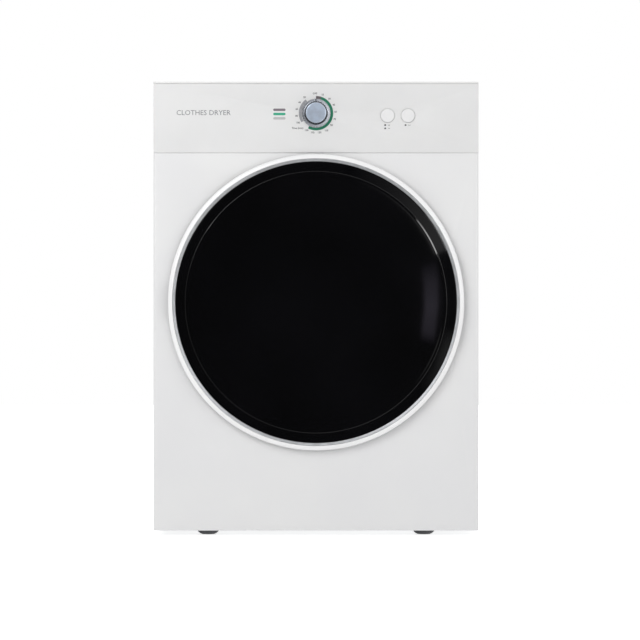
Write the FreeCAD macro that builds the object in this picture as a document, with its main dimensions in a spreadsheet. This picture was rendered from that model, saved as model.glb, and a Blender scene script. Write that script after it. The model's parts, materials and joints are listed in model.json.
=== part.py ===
import FreeCAD, Part
import math
import os
import re
import Sketcher

# A free-standing vented clothes dryer.  Millimetres, +Z up, the front faces -Y, and the origin
# lies on the floor under the middle of the cabinet with its door and vent collar.

doc = FreeCAD.newDocument("ClothesDryer")

# ---------------------------------------------------------------- driving dimensions
SIZES = [
    # cabinet
    ("cabinet_width", 595, "over the side panels"),
    ("cabinet_height", 830, "floor to the top panel"),
    ("cabinet_depth", 555, "door window to the end of the vent collar"),
    ("foot_clear", 8.5, "floor to the base tray with the feet wound in"),
    ("sheet", 1, "panel thickness"),
    ("edge_radius", 4, "rounding of the cabinet's upright front edges"),
    ("front_return", 20, "depth of the front panel's folded sides"),
    ("panel_gap", 0.5, "parting gap between panels"),
    ("side_return", 15, "width of the side panels' folded edges"),
    ("tray_height", 40, "base tray walls"),
    ("tray_wall", 1.5, "base tray thickness"),
    ("lid_edge", 3, "visible edge of the top panel"),
    ("lid_core", 15, "board under the top panel"),
    ("lid_inset", 30, "board to the lid's front and back edges"),
    # control panel
    ("fascia_height", 130, "control panel with the lid's edge"),
    ("fascia_proud", 2, "control panel in front of the front panel"),
    ("fascia_wall", 2.5, "moulding thickness"),
    ("fascia_round", 1.5, "rounding of its long edges"),
    ("control_drop", 57.5, "top of the cabinet to the knob's centre"),
    ("button_drop", 62, "top of the cabinet to the buttons' centres"),
    ("start_inset", 129.2, "start button to the cabinet's side"),
    ("button_pitch", 37.3, "between the two buttons"),
    ("button_radius", 12.5, "button face"),
    ("button_gap", 0.4, "around a button"),
    ("button_proud", 2.5, "button in front of the control panel"),
    ("button_travel", 3, "press"),
    ("button_flange", 2, "collar that keeps a button in"),
    ("stem_radius", 4, "button stem"),
    ("stem_length", 9, "button stem behind its collar"),
    ("knob_skirt_radius", 26.2, "silver skirt"),
    ("knob_skirt_height", 6, "silver skirt"),
    ("knob_groove_radius", 20.8, "outside of the groove round the grip"),
    ("knob_grip_radius", 18.8, "grip"),
    ("knob_height", 18, "knob in front of the control panel"),
    ("knob_cap_radius", 18.4, "metal face"),
    ("knob_cap_thickness", 1.4, "metal face"),
    ("knob_gap", 0.5, "knob to the control panel"),
    ("spindle_radius", 3, "knob spindle"),
    ("spindle_length", 24, "spindle behind the knob"),
    ("unit_half", 30, "half of the square timer unit"),
    ("unit_depth", 40, "timer unit"),
    ("switch_height", 42, "switch block"),
    ("switch_depth", 22, "switch block"),
    ("switch_margin", 20, "switch block beyond the buttons' centres"),
    # drum
    ("drum_side_gap", 14.5, "drum to the outside of a side panel"),
    ("drum_top_gap", 120.5, "drum to the top of the cabinet"),
    ("drum_deck", 143.5, "floor to the underside of the drum"),
    ("drum_front", 68.5, "front panel to the drum"),
    ("drum_rear", 84.5, "drum to the rear panel"),
    ("drum_wall", 1, "drum sheet"),
    ("drum_lip", 93, "drum radius less the mouth radius"),
    ("collar_step", 25, "drum collar outside the mouth"),
    ("collar_wall", 1.5, "drum collar"),
    ("collar_length", 15, "drum collar"),
    ("back_hole_radius", 5, "drum back perforation"),
    ("back_hole_first", 95, "radius of the inner row of holes"),
    ("back_hole_step", 28, "between rows"),
    ("back_hole_rows", 3, "rows of holes"),
    ("back_hole_count", 20, "holes in a row"),
    ("lifter_count", 3, "lifters"),
    ("lifter_height", 60, "lifter"),
    ("lifter_foot", 30, "half width at the drum"),
    ("lifter_crest", 11, "half width at the top"),
    ("lifter_margin", 22, "lifter to the drum's ends"),
    ("shaft_radius", 10, "drum shaft"),
    ("shaft_length", 38, "drum shaft behind the drum"),
    ("spider_radius", 58, "flange that carries the drum"),
    ("spider_thickness", 4, "flange that carries the drum"),
    ("turning_fit", 0.05, "radial clearance of a turning shaft"),
    ("sliding_gap", 0.3, "between a moving part and its neighbour"),
    # bulkheads, seals and bearing
    ("mouth_wall", 1.5, "throat of the front bulkhead"),
    ("mouth_front", 1.5, "front panel to the throat"),
    ("throat_length", 64, "throat"),
    ("bulkhead_front", 47.5, "front panel to the front bulkhead"),
    ("bulkhead_wall", 1.5, "bulkhead sheet"),
    ("bulkhead_reach", 8, "bulkhead beyond the drum, above and below"),
    ("support_step", 15, "support ring outside the mouth"),
    ("support_wall", 2, "support ring"),
    ("front_felt_width", 6, "front felt"),
    ("front_felt_place", 3, "bulkhead to the front felt"),
    ("glide_width", 6, "glide pad along the axis"),
    ("glide_place", 10.5, "bulkhead to the glide pads"),
    ("glide_angle", 35, "glide pads from the top"),
    ("glide_half", 14, "half length of a glide pad"),
    ("rear_felt_outer", 5, "rear felt inside the drum's radius"),
    ("rear_felt_width", 16, "rear felt"),
    ("rear_gap", 7.5, "drum to the rear bulkhead"),
    ("air_hole_radius", 36, "hot air openings in the rear bulkhead"),
    ("air_hole_count", 8, "hot air openings"),
    ("air_hole_ring", 135, "radius of the ring of openings"),
    ("bearing_radius", 17, "drum bearing"),
    ("bearing_length", 20, "drum bearing"),
    ("housing_hub", 24, "bearing housing hub"),
    ("housing_flange", 56, "bearing housing flange"),
    ("housing_flange_thickness", 6, "bearing housing flange"),
    ("housing_gap", 2, "bulkhead to the drum bearing"),
    # heater
    ("heater_step", 83, "drum radius less the heater housing radius"),
    ("heater_inner", 62, "heater housing's inner wall"),
    ("heater_depth", 51, "heater housing"),
    ("heater_wall", 1.5, "heater housing"),
    ("heater_inset", 15, "air inlet holes to the housing's edge"),
    ("inlet_radius", 8, "air inlet hole"),
    ("inlet_count", 24, "air inlet holes"),
    ("element_radius", 3, "heating rod"),
    ("element_first", 118, "inner heating ring"),
    ("element_step", 32, "between heating rings"),
    ("element_rings", 2, "heating rings"),
    ("element_post", 6, "half width of a ceramic post"),
    ("thermostat_radius", 12, "thermostat"),
    ("thermostat_height", 8, "thermostat"),
    ("thermostat_ring", 130, "thermostats from the drum's axis"),
    # motor, fan and belt
    ("motor_inset", 122.5, "motor axis to the cabinet's side"),
    ("motor_z", 95, "motor axis above the floor"),
    ("motor_radius", 52, "motor case"),
    ("motor_front", 158.5, "front panel to the motor case"),
    ("motor_length", 130, "motor case"),
    ("motor_wall", 3, "motor case"),
    ("motor_seat", 50, "half width of the motor bracket"),
    ("rotor_radius", 32, "rotor on the motor shaft"),
    ("rotor_margin", 22, "rotor to the ends of the case"),
    ("motor_shaft_radius", 6, "motor shaft"),
    ("pulley_bore", 3.5, "motor shaft in the pulley"),
    ("pulley_radius", 5, "belt seat on the motor pulley"),
    ("pulley_flange", 9, "motor pulley flange"),
    ("pulley_flange_thickness", 2, "motor pulley flange"),
    ("belt_front", 313.5, "front panel to the middle of the belt"),
    ("belt_width", 12, "drum belt"),
    ("belt_thickness", 2, "drum belt"),
    ("pulley_side_gap", 2, "belt to a pulley flange"),
    ("idler_inset", 75, "idler to the motor axis"),
    ("idler_radius", 20, "idler pulley"),
    ("idler_bore", 4, "idler pin"),
    ("arm_thickness", 3, "idler arm"),
    ("arm_half", 9, "half width of the idler arm"),
    ("arm_reach_x", 40, "arm pivot to idler, across"),
    ("arm_reach_z", 45, "arm pivot to idler, up"),
    ("post_radius", 4, "post that carries the arm"),
    ("fan_front", 71.5, "front panel to the fan housing"),
    ("fan_depth", 64, "fan housing"),
    ("fan_wall", 2, "fan housing"),
    ("fan_case_radius", 74, "fan housing"),
    ("fan_outlet", 60, "height of the fan outlet"),
    ("fan_outlet_reach", 77, "fan outlet from the motor axis"),
    ("fan_inlet_radius", 43, "fan inlet"),
    ("impeller_radius", 62, "impeller"),
    ("impeller_side_gap", 5, "impeller to the housing's walls"),
    ("impeller_blades", 24, "impeller blades"),
    ("blade_thickness", 1.5, "impeller blade"),
    ("blade_length", 14, "impeller blade"),
    ("impeller_hub", 14, "impeller hub"),
    ("impeller_disc", 2.5, "impeller back disc"),
    # air ducts and lint filter
    ("duct_wall", 2, "exhaust duct"),
    ("exhaust_x", -120, "exhaust axis"),
    ("exhaust_z", 70, "exhaust axis above the floor"),
    ("exhaust_radius", 48, "exhaust tube"),
    ("exhaust_end", 21.5, "end of the exhaust tube to the rear panel"),
    ("vent_step", 1, "vent collar outside the exhaust tube"),
    ("vent_wall", 3, "vent collar"),
    ("vent_proud", 18, "vent collar behind the rear panel"),
    ("vent_flange", 60, "vent collar flange"),
    ("vent_flange_thickness", 2, "vent collar flange"),
    ("lint_wall", 2.5, "lint duct"),
    ("lint_front", 5.5, "front panel to the lint duct"),
    ("lint_rear", 1, "lint duct to the front bulkhead"),
    ("lint_low", 40, "floor to the lint duct"),
    ("lint_shoulder", 58, "throat to the wide part of the lint duct"),
    ("filter_half", 72, "half width of the lint filter"),
    ("filter_thickness", 12, "lint filter"),
    ("filter_height", 86, "lint filter"),
    ("filter_frame", 5, "lint filter rim"),
    ("filter_mesh", 1, "lint filter screen"),
    ("filter_gap", 1, "lint filter in its slot"),
    # door
    ("door_lap", 81, "door radius less the mouth radius"),
    ("door_proud", 24, "middle of the window in front of the front panel"),
    ("door_gap", 4, "front panel to the door ring"),
    ("ring_proud", 18, "crest of the door ring"),
    ("ring_crest", 6.5, "crest inside the door's radius"),
    ("ring_inner", 8.8, "inside of the ring to the door's radius"),
    ("ring_wall", 2.5, "door ring"),
    ("ring_shoulder", 8, "start of the ring's rounded flank"),
    ("ledge_depth", 31, "ledge under the window to the door's radius"),
    ("ledge_front", 13, "front of the ledge"),
    ("ledge_back", 10, "back of the ledge"),
    ("trim_width", 4.4, "satin ring round the window"),
    ("trim_gap", 0.3, "between ring, satin ring and window"),
    ("window_band", 18.2, "flat band at the window's edge"),
    ("window_rim", 16, "front of the flat band"),
    ("window_rise", 17.5, "foot of the window's dome"),
    ("window_wall", 3, "window"),
    ("opening_step", 10, "front panel opening outside the mouth"),
    ("frame_lap", 25, "inner frame to the door's radius"),
    ("frame_back", 6, "back of the inner frame"),
    ("frame_wall", 3, "inner frame"),
    ("frame_collar", 16, "collar of the inner frame"),
    ("frame_in", 6, "bore of the inner frame inside the mouth"),
    ("bowl_wall", 4, "glass bowl"),
    ("bowl_depth", 22, "glass bowl behind the front panel"),
    ("seal_step", 15, "door seal outside the mouth"),
    ("seal_width", 10, "door seal"),
    ("striker_gap", 2, "door seal to the striker's plate"),
    ("striker_length", 14, "striker behind the front panel"),
    ("striker_half", 5, "half height of the striker"),
    ("striker_thickness", 4, "striker"),
    ("striker_plate", 8, "half width of its plate"),
    ("striker_slot_gap", 3, "striker in the front panel's slot"),
    ("catch_depth", 24, "door catch"),
    ("catch_half", 20, "half height of the door catch"),
    ("catch_side", 12, "half width of the door catch"),
    ("hinge_inset", 6.5, "hinge pin to the door's radius"),
    ("hinge_out", 9.5, "hinge pin in front of the front panel"),
    ("hinge_pin_radius", 2.5, "hinge pin"),
    ("knuckle_radius", 4, "hinge knuckle"),
    ("hinge_half", 28, "half height of the hinge"),
    ("knuckle_half", 9, "half height of the fixed knuckle"),
    ("hinge_web_near", 2.6, "near side of the web to the pin"),
    ("hinge_web_far", 4.8, "far side of the web to the pin"),
    ("hinge_plate_thickness", 1.5, "plate on the front panel"),
    ("hinge_plate_reach", 22, "plate beyond the pin"),
    ("hinge_arm_reach", 50, "arm beyond the pin"),
    ("hinge_arm_thickness", 2.4, "arm"),
    ("notch_depth", 14.5, "hinge notch in the ring, from the front panel"),
    ("notch_gap", 2, "hinge notch beyond the hinge"),
    ("grip_half", 82, "half height of the finger grip"),
    ("grip_depth", 11.5, "finger grip, from the front panel"),
    ("grip_width", 22, "finger grip to the door's radius"),
    ("screw_radius", 1.8, "screw shank"),
    ("screw_head", 4, "screw head"),
    ("screw_head_height", 1.6, "screw head"),
    ("screw_gap", 0.1, "around a shank"),
    ("door_screw_ring", 28, "door screws to the door's radius"),
    ("door_screw_count", 6, "door screws"),
    ("door_screw_length", 6, "door screw shank"),
    # feet, rear panel and wiring
    ("foot_inset", 99, "foot to the cabinet's side"),
    ("foot_setback", 38.5, "foot to the front panel and to the rear panel"),
    ("foot_top", 19.5, "foot, upper radius"),
    ("foot_bottom", 11.5, "foot, lower radius"),
    ("foot_rim", 2.5, "upright edge of the foot"),
    ("stud_radius", 4, "foot stud"),
    ("stud_length", 30, "foot stud"),
    ("nut_radius", 8, "weld nut in the tray"),
    ("nut_height", 10, "weld nut in the tray"),
    ("rear_screw_inset", 9, "rear panel screws to the cabinet's side"),
    ("rear_screw_count", 4, "rear panel screws on a side"),
    ("rear_screw_length", 9, "rear panel screw shank"),
    ("louvre_count", 10, "air intake slots"),
    ("louvre_half", 60, "half length of a slot"),
    ("louvre_height", 5, "slot"),
    ("louvre_pitch", 14, "between slots"),
    ("gland_inset", 70, "cable gland to the cabinet's side"),
    ("gland_drop", 80, "cable gland below the top"),
    ("gland_radius", 9, "cable gland"),
    ("gland_bore", 5, "cable gland"),
    ("gland_flange", 13, "cable gland flange"),
    ("gland_proud", 7, "cable gland behind the rear panel"),
    ("block_half", 20, "half width of the terminal block"),
    ("block_height", 24, "terminal block"),
    ("block_depth", 26, "terminal block"),
    ("block_gap", 14, "gland to the terminal block, downward"),
    ("wire_radius", 4, "wiring loom"),
    ("wire_bend", 22, "loom bend radius"),
    ("wire_side", 7.5, "loom axis to the outside of the side panel"),
    ("wire_back", 200, "front panel to the loom's way down"),
]

# ---------------------------------------------------------------- places worked out from them
LAYOUT = [
    ("side_x", "cabinet_width / 2"),
    ("inner_x", "side_x - sheet"),
    ("front_y", "door_proud - cabinet_depth / 2"),
    ("rear_y", "cabinet_depth / 2 - vent_proud"),
    ("floor_z", "foot_clear + tray_wall"),
    ("lid_z", "cabinet_height - lid_edge"),
    ("fascia_z", "cabinet_height - fascia_height"),
    ("fascia_y", "front_y - fascia_proud"),
    ("behind_fascia_y", "fascia_y + fascia_wall"),
    ("knob_z", "cabinet_height - control_drop"),
    ("button_z", "cabinet_height - button_drop"),
    ("start_x", "side_x - start_inset"),
    ("temperature_x", "start_x - button_pitch"),
    ("button_back_y", "behind_fascia_y + panel_gap + button_flange"),
    ("switch_y", "button_back_y + stem_length + button_travel + 1"),
    ("drum_radius", "min(side_x - drum_side_gap; (cabinet_height - drum_top_gap - drum_deck) / 2)"),
    ("drum_z", "drum_deck + drum_radius"),
    ("drum_front_y", "front_y + drum_front"),
    ("drum_back_y", "rear_y - drum_rear"),
    ("mouth_radius", "drum_radius - drum_lip"),
    ("collar_radius", "mouth_radius + collar_step"),
    ("support_radius", "mouth_radius + support_step"),
    ("pad_radius", "collar_radius - sliding_gap"),
    ("bulkhead_y", "front_y + bulkhead_front"),
    ("rear_bulkhead_y", "drum_back_y + rear_gap"),
    ("behind_bulkhead_y", "rear_bulkhead_y + bulkhead_wall"),
    ("bearing_y", "behind_bulkhead_y + housing_gap"),
    ("heater_outer", "drum_radius - heater_step"),
    ("heater_back_y", "behind_bulkhead_y + heater_depth"),
    ("motor_x", "side_x - motor_inset"),
    ("motor_y", "front_y + motor_front"),
    ("belt_y", "front_y + belt_front"),
    ("belt_low_y", "belt_y - belt_width / 2"),
    ("belt_high_y", "belt_y + belt_width / 2"),
    ("idler_x", "motor_x - idler_inset"),
    ("idler_z", "motor_z"),
    ("pivot_x", "idler_x - arm_reach_x"),
    ("pivot_z", "idler_z - arm_reach_z"),
    ("arm_y", "belt_high_y + pulley_side_gap"),
    ("arm_back_y", "arm_y + arm_thickness"),
    ("fan_y", "front_y + fan_front"),
    ("fan_back_y", "fan_y + fan_depth"),
    ("fan_low_z", "motor_z - fan_case_radius"),
    ("fan_outlet_x", "motor_x - fan_outlet_reach"),
    ("exhaust_end_y", "rear_y - exhaust_end"),
    ("lint_y", "front_y + lint_front"),
    ("lint_back_y", "bulkhead_y - lint_rear"),
    ("throat_low_z", "drum_z - mouth_radius"),
    ("shoulder_z", "throat_low_z - lint_shoulder"),
    ("filter_y", "lint_back_y - lint_wall - filter_gap - filter_thickness"),
    ("door_radius", "mouth_radius + door_lap"),
    ("ring_bore", "door_radius - ring_inner"),
    ("trim_radius", "ring_bore - trim_gap"),
    ("window_radius", "trim_radius - trim_width - trim_gap"),
    ("band_radius", "window_radius - window_band"),
    ("ledge_radius", "door_radius - ledge_depth"),
    ("frame_radius", "door_radius - frame_lap"),
    ("frame_bore", "mouth_radius - frame_in"),
    ("vent_radius", "exhaust_radius + vent_step"),
    ("striker_x", "mouth_radius + seal_step + seal_width + striker_gap + striker_plate"),
    ("hinge_x", "hinge_inset - door_radius"),
    ("hinge_y", "front_y - hinge_out"),
    ("foot_x", "side_x - foot_inset"),
    ("foot_front_y", "front_y + foot_setback"),
    ("foot_rear_y", "rear_y - foot_setback"),
    ("gland_x", "side_x - gland_inset"),
    ("gland_z", "cabinet_height - gland_drop"),
]

BUTTONS = {"temperature_button": "temperature_x", "start_button": "start_x"}
FOOT_PLACES = {
    "front_left_foot": ("-foot_x", "foot_front_y"),
    "front_right_foot": ("foot_x", "foot_front_y"),
    "rear_left_foot": ("-foot_x", "foot_rear_y"),
    "rear_right_foot": ("foot_x", "foot_rear_y"),
}

sheet = doc.addObject("Spreadsheet::Sheet", "Sizes")
layout = doc.addObject("App::VarSet", "Layout")
OWNER = {}
PARTS = {}


def formula(text):
    """Puts the name of the sheet or of the layout before each value named in an expression."""
    return re.sub(r"[a-z_]+", lambda word: OWNER.get(word.group(), "") + word.group(), text)


def value(text):
    """The present number of an expression."""
    return float(sheet.evalExpression(formula(text)))


def bind(thing, field, text):
    thing.setExpression(field, formula(text))


for row, (alias, number, note) in enumerate(SIZES, start=1):
    sheet.set(f"A{row}", alias)
    sheet.set(f"B{row}", str(number))
    sheet.set(f"C{row}", note)
    sheet.setAlias(f"B{row}", alias)
    OWNER[alias] = "Sizes."
doc.recompute()
for name, text in LAYOUT:
    layout.addProperty("App::PropertyFloat", name)
    bind(layout, name, text)
    OWNER[name] = "Layout."
    doc.recompute()


# ---------------------------------------------------------------- how pieces are made
def keep(label, piece):
    """Names a finished sub-part."""
    piece.Label = label
    PARTS[label] = piece
    return piece


def put(piece, x, y, z):
    for axis, text in zip("xyz", (x, y, z)):
        bind(piece, f"Placement.Base.{axis}", text)


def box(name, x_span, y_span, z_span):
    """A block between the ends given along each axis."""
    piece = doc.addObject("Part::Box", name)
    for field, (low, high) in zip(("Length", "Width", "Height"), (x_span, y_span, z_span)):
        bind(piece, field, f"({high}) - ({low})")
    put(piece, x_span[0], y_span[0], z_span[0])
    return piece


def wide(half):
    """The span from minus a half to plus a half."""
    return (f"-({half})", half)


def about(middle, half):
    """The span of a half to each side of a middle."""
    return (f"{middle} - ({half})", f"{middle} + ({half})")


def rod(name, radius, x, y_span, z):
    """A cylinder that lies along Y."""
    piece = doc.addObject("Part::Cylinder", name)
    bind(piece, "Radius", radius)
    bind(piece, "Height", f"({y_span[1]}) - ({y_span[0]})")
    piece.Placement.Rotation = FreeCAD.Rotation(FreeCAD.Vector(1, 0, 0), -90)
    put(piece, x, y_span[0], z)
    return piece


def post(name, radius, x, y, z_span):
    """A cylinder that stands along Z."""
    piece = doc.addObject("Part::Cylinder", name)
    bind(piece, "Radius", radius)
    bind(piece, "Height", f"({z_span[1]}) - ({z_span[0]})")
    put(piece, x, y, z_span[0])
    return piece


def join(name, pieces):
    joined = doc.addObject("Part::MultiFuse", name)
    joined.Shapes = pieces
    joined.Refine = True
    return joined


def group(name, pieces):
    """Separate solids that share one sub-part."""
    kept = doc.addObject("Part::Compound", name)
    kept.Links = pieces
    return kept


def cut(name, base, tools):
    """The base less every tool, checked to have lost some volume."""
    tool = tools[0] if len(tools) == 1 else join(name + "_tools", tools)
    result = doc.addObject("Part::Cut", name)
    result.Base = base
    result.Tool = tool
    result.Refine = True
    doc.recompute()
    if result.Shape.Volume >= base.Shape.Volume:
        raise RuntimeError(f"{name}: the cut removes nothing")
    return result


def new_body(name, x="0", y="0", z="0"):
    body = doc.addObject("PartDesign::Body", name)
    body.AllowCompound = True
    put(body, x, y, z)
    return body


def origin_feature(body, role):
    return next(item for item in body.Origin.OriginFeatures if item.Role == role)


def new_sketch(body, name, plane, offset="0"):
    sketch = body.newObject("Sketcher::SketchObject", name)
    sketch.AttachmentSupport = (origin_feature(body, plane), [""])
    sketch.MapMode = "FlatFace"
    bind(sketch, "AttachmentOffset.Base.z", offset)
    return sketch


def fix_point(sketch, geometry, place, x, y):
    """Holds one point of a sketch at two distances from its origin."""
    for kind, text in (("DistanceX", x), ("DistanceY", y)):
        number = sketch.addConstraint(Sketcher.Constraint(kind, -1, 1, geometry, place, value(text)))
        bind(sketch, f"Constraints[{number}]", text)


def draw_outline(sketch, points):
    """A closed outline of (x, y) corners; (x, y, via_x, via_y) is reached by an arc through via."""
    places = [FreeCAD.Vector(value(point[0]), value(point[1]), 0) for point in points]
    ends = []
    for index, point in enumerate(points):
        start = places[index - 1]
        end = places[index]
        if len(point) == 2:
            edge = sketch.addGeometry(Part.LineSegment(start, end), False)
            ends.append((edge, 1, 2))
            continue
        middle = FreeCAD.Vector(value(point[2]), value(point[3]), 0)
        forward = (middle - start).cross(end - middle).z > 0
        turning_left = (start, middle, end) if forward else (end, middle, start)
        edge = sketch.addGeometry(Part.Arc(*turning_left), False)
        ends.append((edge, 1, 2) if forward else (edge, 2, 1))
        mark = sketch.addGeometry(Part.Point(middle), True)
        fix_point(sketch, mark, 1, point[2], point[3])
        sketch.addConstraint(Sketcher.Constraint("PointOnObject", mark, 1, edge))
    for index, point in enumerate(points):
        edge, _, last = ends[index]
        following, first, _ = ends[(index + 1) % len(points)]
        fix_point(sketch, edge, last, point[0], point[1])
        sketch.addConstraint(Sketcher.Constraint("Coincident", edge, last, following, first))


def draw_circle(sketch, x, y, radius):
    centre = FreeCAD.Vector(value(x), value(y), 0)
    shape = Part.Circle(centre, FreeCAD.Vector(0, 0, 1), value(radius))
    edge = sketch.addGeometry(shape, False)
    fix_point(sketch, edge, 3, x, y)
    number = sketch.addConstraint(Sketcher.Constraint("Radius", edge, value(radius)))
    bind(sketch, f"Constraints[{number}]", radius)


def draw_rectangle(sketch, x_span, y_span):
    (left, right), (low, high) = x_span, y_span
    draw_outline(sketch, [(left, low), (right, low), (right, high), (left, high)])


def pad(body, sketch, length, reverse=False, both_ways=False):
    feature = body.newObject("PartDesign::Pad", sketch.Name + "_pad")
    feature.Profile = sketch
    feature.Reversed = reverse
    feature.Midplane = both_ways
    bind(feature, "Length", length)
    return feature


def pocket(body, sketch, both_ways=True):
    """Cuts the sketch right through the body, and checks that it did."""
    doc.recompute()
    before = body.Shape.Volume
    feature = body.newObject("PartDesign::Pocket", sketch.Name + "_pocket")
    feature.Profile = sketch
    feature.Type = "ThroughAll"
    feature.Midplane = both_ways
    doc.recompute()
    if body.Shape.Volume >= before:
        raise RuntimeError(f"{sketch.Name}: the pocket removes nothing")
    return feature


def turn(body, name, outline, axis="Y"):
    """Adds a solid turned about the body's Y or Z axis, from (radius, along the axis) corners."""
    sketch = new_sketch(body, name, "XY_Plane" if axis == "Y" else "XZ_Plane")
    draw_outline(sketch, outline)
    feature = body.newObject("PartDesign::Revolution", name + "_turn")
    feature.Profile = sketch
    feature.ReferenceAxis = (sketch, ["V_Axis"])
    feature.Angle = 360
    return feature


def turned(name, outline, x="0", y="0", z="drum_z", axis="Y"):
    """A body of revolution about an axis through the place given."""
    body = new_body(name, x, y, z)
    turn(body, name + "_outline", outline, axis)
    return body


def repeat_round(body, feature, count):
    """Repeats a feature about the body's Y axis."""
    pattern = body.newObject("PartDesign::PolarPattern", feature.Name + "_round")
    pattern.Originals = [feature]
    pattern.Axis = (origin_feature(body, "Y_Axis"), [""])
    pattern.Angle = 360
    bind(pattern, "Occurrences", count)
    body.Tip = pattern
    return pattern


def tube(y_span, outer, inner):
    """Corners of a plain ring or tube about the Y axis."""
    low, high = y_span
    return [(inner, low), (outer, low), (outer, high), (inner, high)]


def disc(y_span, radius):
    return tube(y_span, radius, "0")


# ---------------------------------------------------------------- cabinet
def make_base_tray():
    """Folded tray that everything stands in, with a weld nut for each foot."""
    tray_y = ("front_y + edge_radius", "rear_y - sheet")
    blank = box("tray_blank", wide("inner_x"), tray_y, ("foot_clear", "foot_clear + tray_height"))
    inside = box("tray_inside", wide("inner_x - tray_wall"),
                 (f"{tray_y[0]} + tray_wall", f"{tray_y[1]} - tray_wall"),
                 ("floor_z", "foot_clear + tray_height + 1"))
    vent = rod("tray_vent_hole", "vent_radius + panel_gap", "exhaust_x",
               (f"{tray_y[1]} - tray_wall - 1", "rear_y"), "exhaust_z")
    pan = cut("tray_pan", blank, [inside, vent])
    nuts = []
    holes = []
    for number, (x, y) in enumerate(FOOT_PLACES.values()):
        nuts.append(post(f"nut_{number}", "nut_radius", x, y, ("floor_z", "floor_z + nut_height")))
        holes.append(post(f"nut_hole_{number}", "stud_radius + turning_fit", x, y,
                          ("0", "floor_z + nut_height + 1")))
    keep("base_tray", cut("base_tray", join("tray_with_nuts", [pan] + nuts), holes))


def make_side_panel(label, side):
    """Upright sheet with a folded edge at the front and at the back."""
    def across(low, high):
        return (low, high) if side > 0 else (f"-({high})", f"-({low})")
    start_y = "front_y + front_return + panel_gap"
    end_y = "rear_y - sheet"
    folds_z = ("foot_clear + tray_height + panel_gap", "lid_z - lid_core - panel_gap")
    pieces = [
        box(label + "_sheet", across("inner_x", "side_x"), (start_y, end_y), ("foot_clear", "lid_z")),
        box(label + "_front_fold", across("inner_x - side_return", "inner_x"),
            (start_y, start_y + " + sheet"), folds_z),
        box(label + "_rear_fold", across("inner_x - side_return", "inner_x"),
            (end_y + " - sheet", end_y), folds_z),
    ]
    return join(label + "_blank", pieces)


def rear_screw_places():
    """Screws up both edges of the rear panel."""
    step = "(cabinet_height - foot_clear - tray_height - lid_core - 2 * side_return) / rear_screw_count"
    for side in (-1, 1):
        for number in range(int(value("rear_screw_count"))):
            x = f"{side} * (side_x - rear_screw_inset)"
            z = f"foot_clear + tray_height + 2 * side_return + {number} * {step}"
            yield x, z


def make_side_panels():
    for label, side in (("left_side_panel", -1), ("right_side_panel", 1)):
        blank = make_side_panel(label, side)
        holes = [rod(f"{label}_hole_{number}", "screw_radius + screw_gap", x,
                     ("rear_y - rear_screw_length - 1", "rear_y + 1"), z)
                 for number, (x, z) in enumerate(rear_screw_places())]
        keep(label, cut(label, blank, holes))


def make_rear_panel():
    """Flat sheet with intake slots, the vent opening, the gland opening and the screw holes."""
    panel_z = ("foot_clear", "lid_z - lid_core - panel_gap")
    blank = box("rear_blank", wide("side_x"), ("rear_y - sheet", "rear_y"), panel_z)
    through = ("rear_y - sheet - 1", "rear_y + 1")
    holes = [
        rod("vent_hole", "vent_radius + panel_gap", "exhaust_x", through, "exhaust_z"),
        rod("gland_hole", "gland_radius + screw_gap", "gland_x", through, "gland_z"),
    ]
    for number in range(int(value("louvre_count"))):
        low = f"drum_z + louvre_pitch * ({number} - louvre_count / 2)"
        slot_z = (low, f"{low} + louvre_height")
        holes.append(box(f"louvre_{number}", wide("louvre_half"), through, slot_z))
    for number, (x, z) in enumerate(rear_screw_places()):
        holes.append(rod(f"rear_hole_{number}", "screw_radius + screw_gap", x, through, z))
    keep("rear_panel", cut("rear_panel", blank, holes))


def make_cabinet_screws():
    screws = []
    for number, (x, z) in enumerate(rear_screw_places()):
        outline = [("0", "rear_y - rear_screw_length"), ("screw_radius", "rear_y - rear_screw_length"),
                   ("screw_radius", "rear_y"), ("screw_head", "rear_y"),
                   ("screw_head", "rear_y + screw_head_height"), ("0", "rear_y + screw_head_height")]
        screws.append(turned(f"cabinet_screw_{number}", outline, x=x, z=z))
    keep("cabinet_screws", group("cabinet_screws", screws))


def make_front_panel():
    """Sheet with folded sides, the round door opening and the striker's slot."""
    body = new_body("front_panel")
    corner = "edge_radius * (1 - cos(45))"
    inside_corner = "sheet + (edge_radius - sheet) * (1 - cos(45))"
    back = "front_y + front_return"
    section = [
        ("-side_x", back),
        ("-side_x", "front_y + edge_radius"),
        ("edge_radius - side_x", "front_y", f"{corner} - side_x", f"front_y + {corner}"),
        ("side_x - edge_radius", "front_y"),
        ("side_x", "front_y + edge_radius", f"side_x - {corner}", f"front_y + {corner}"),
        ("side_x", back),
        ("inner_x", back),
        ("inner_x", "front_y + edge_radius"),
        ("side_x - edge_radius", "front_y + sheet",
         f"side_x - ({inside_corner})", f"front_y + {inside_corner}"),
        ("edge_radius - side_x", "front_y + sheet"),
        ("-inner_x", "front_y + edge_radius",
         f"{inside_corner} - side_x", f"front_y + {inside_corner}"),
        ("-inner_x", back),
    ]
    sketch = new_sketch(body, "front_section", "XY_Plane", "foot_clear")
    draw_outline(sketch, section)
    pad(body, sketch, "fascia_z - panel_gap - foot_clear")
    opening = new_sketch(body, "door_opening", "XZ_Plane")
    draw_circle(opening, "0", "drum_z", "mouth_radius + opening_step")
    pocket(body, opening)
    slot = new_sketch(body, "striker_slot", "XZ_Plane")
    draw_rectangle(slot, about("striker_x", "striker_thickness / 2 + striker_slot_gap"),
                   about("drum_z", "striker_half + striker_slot_gap"))
    pocket(body, slot)
    keep("front_panel", body)


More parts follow.
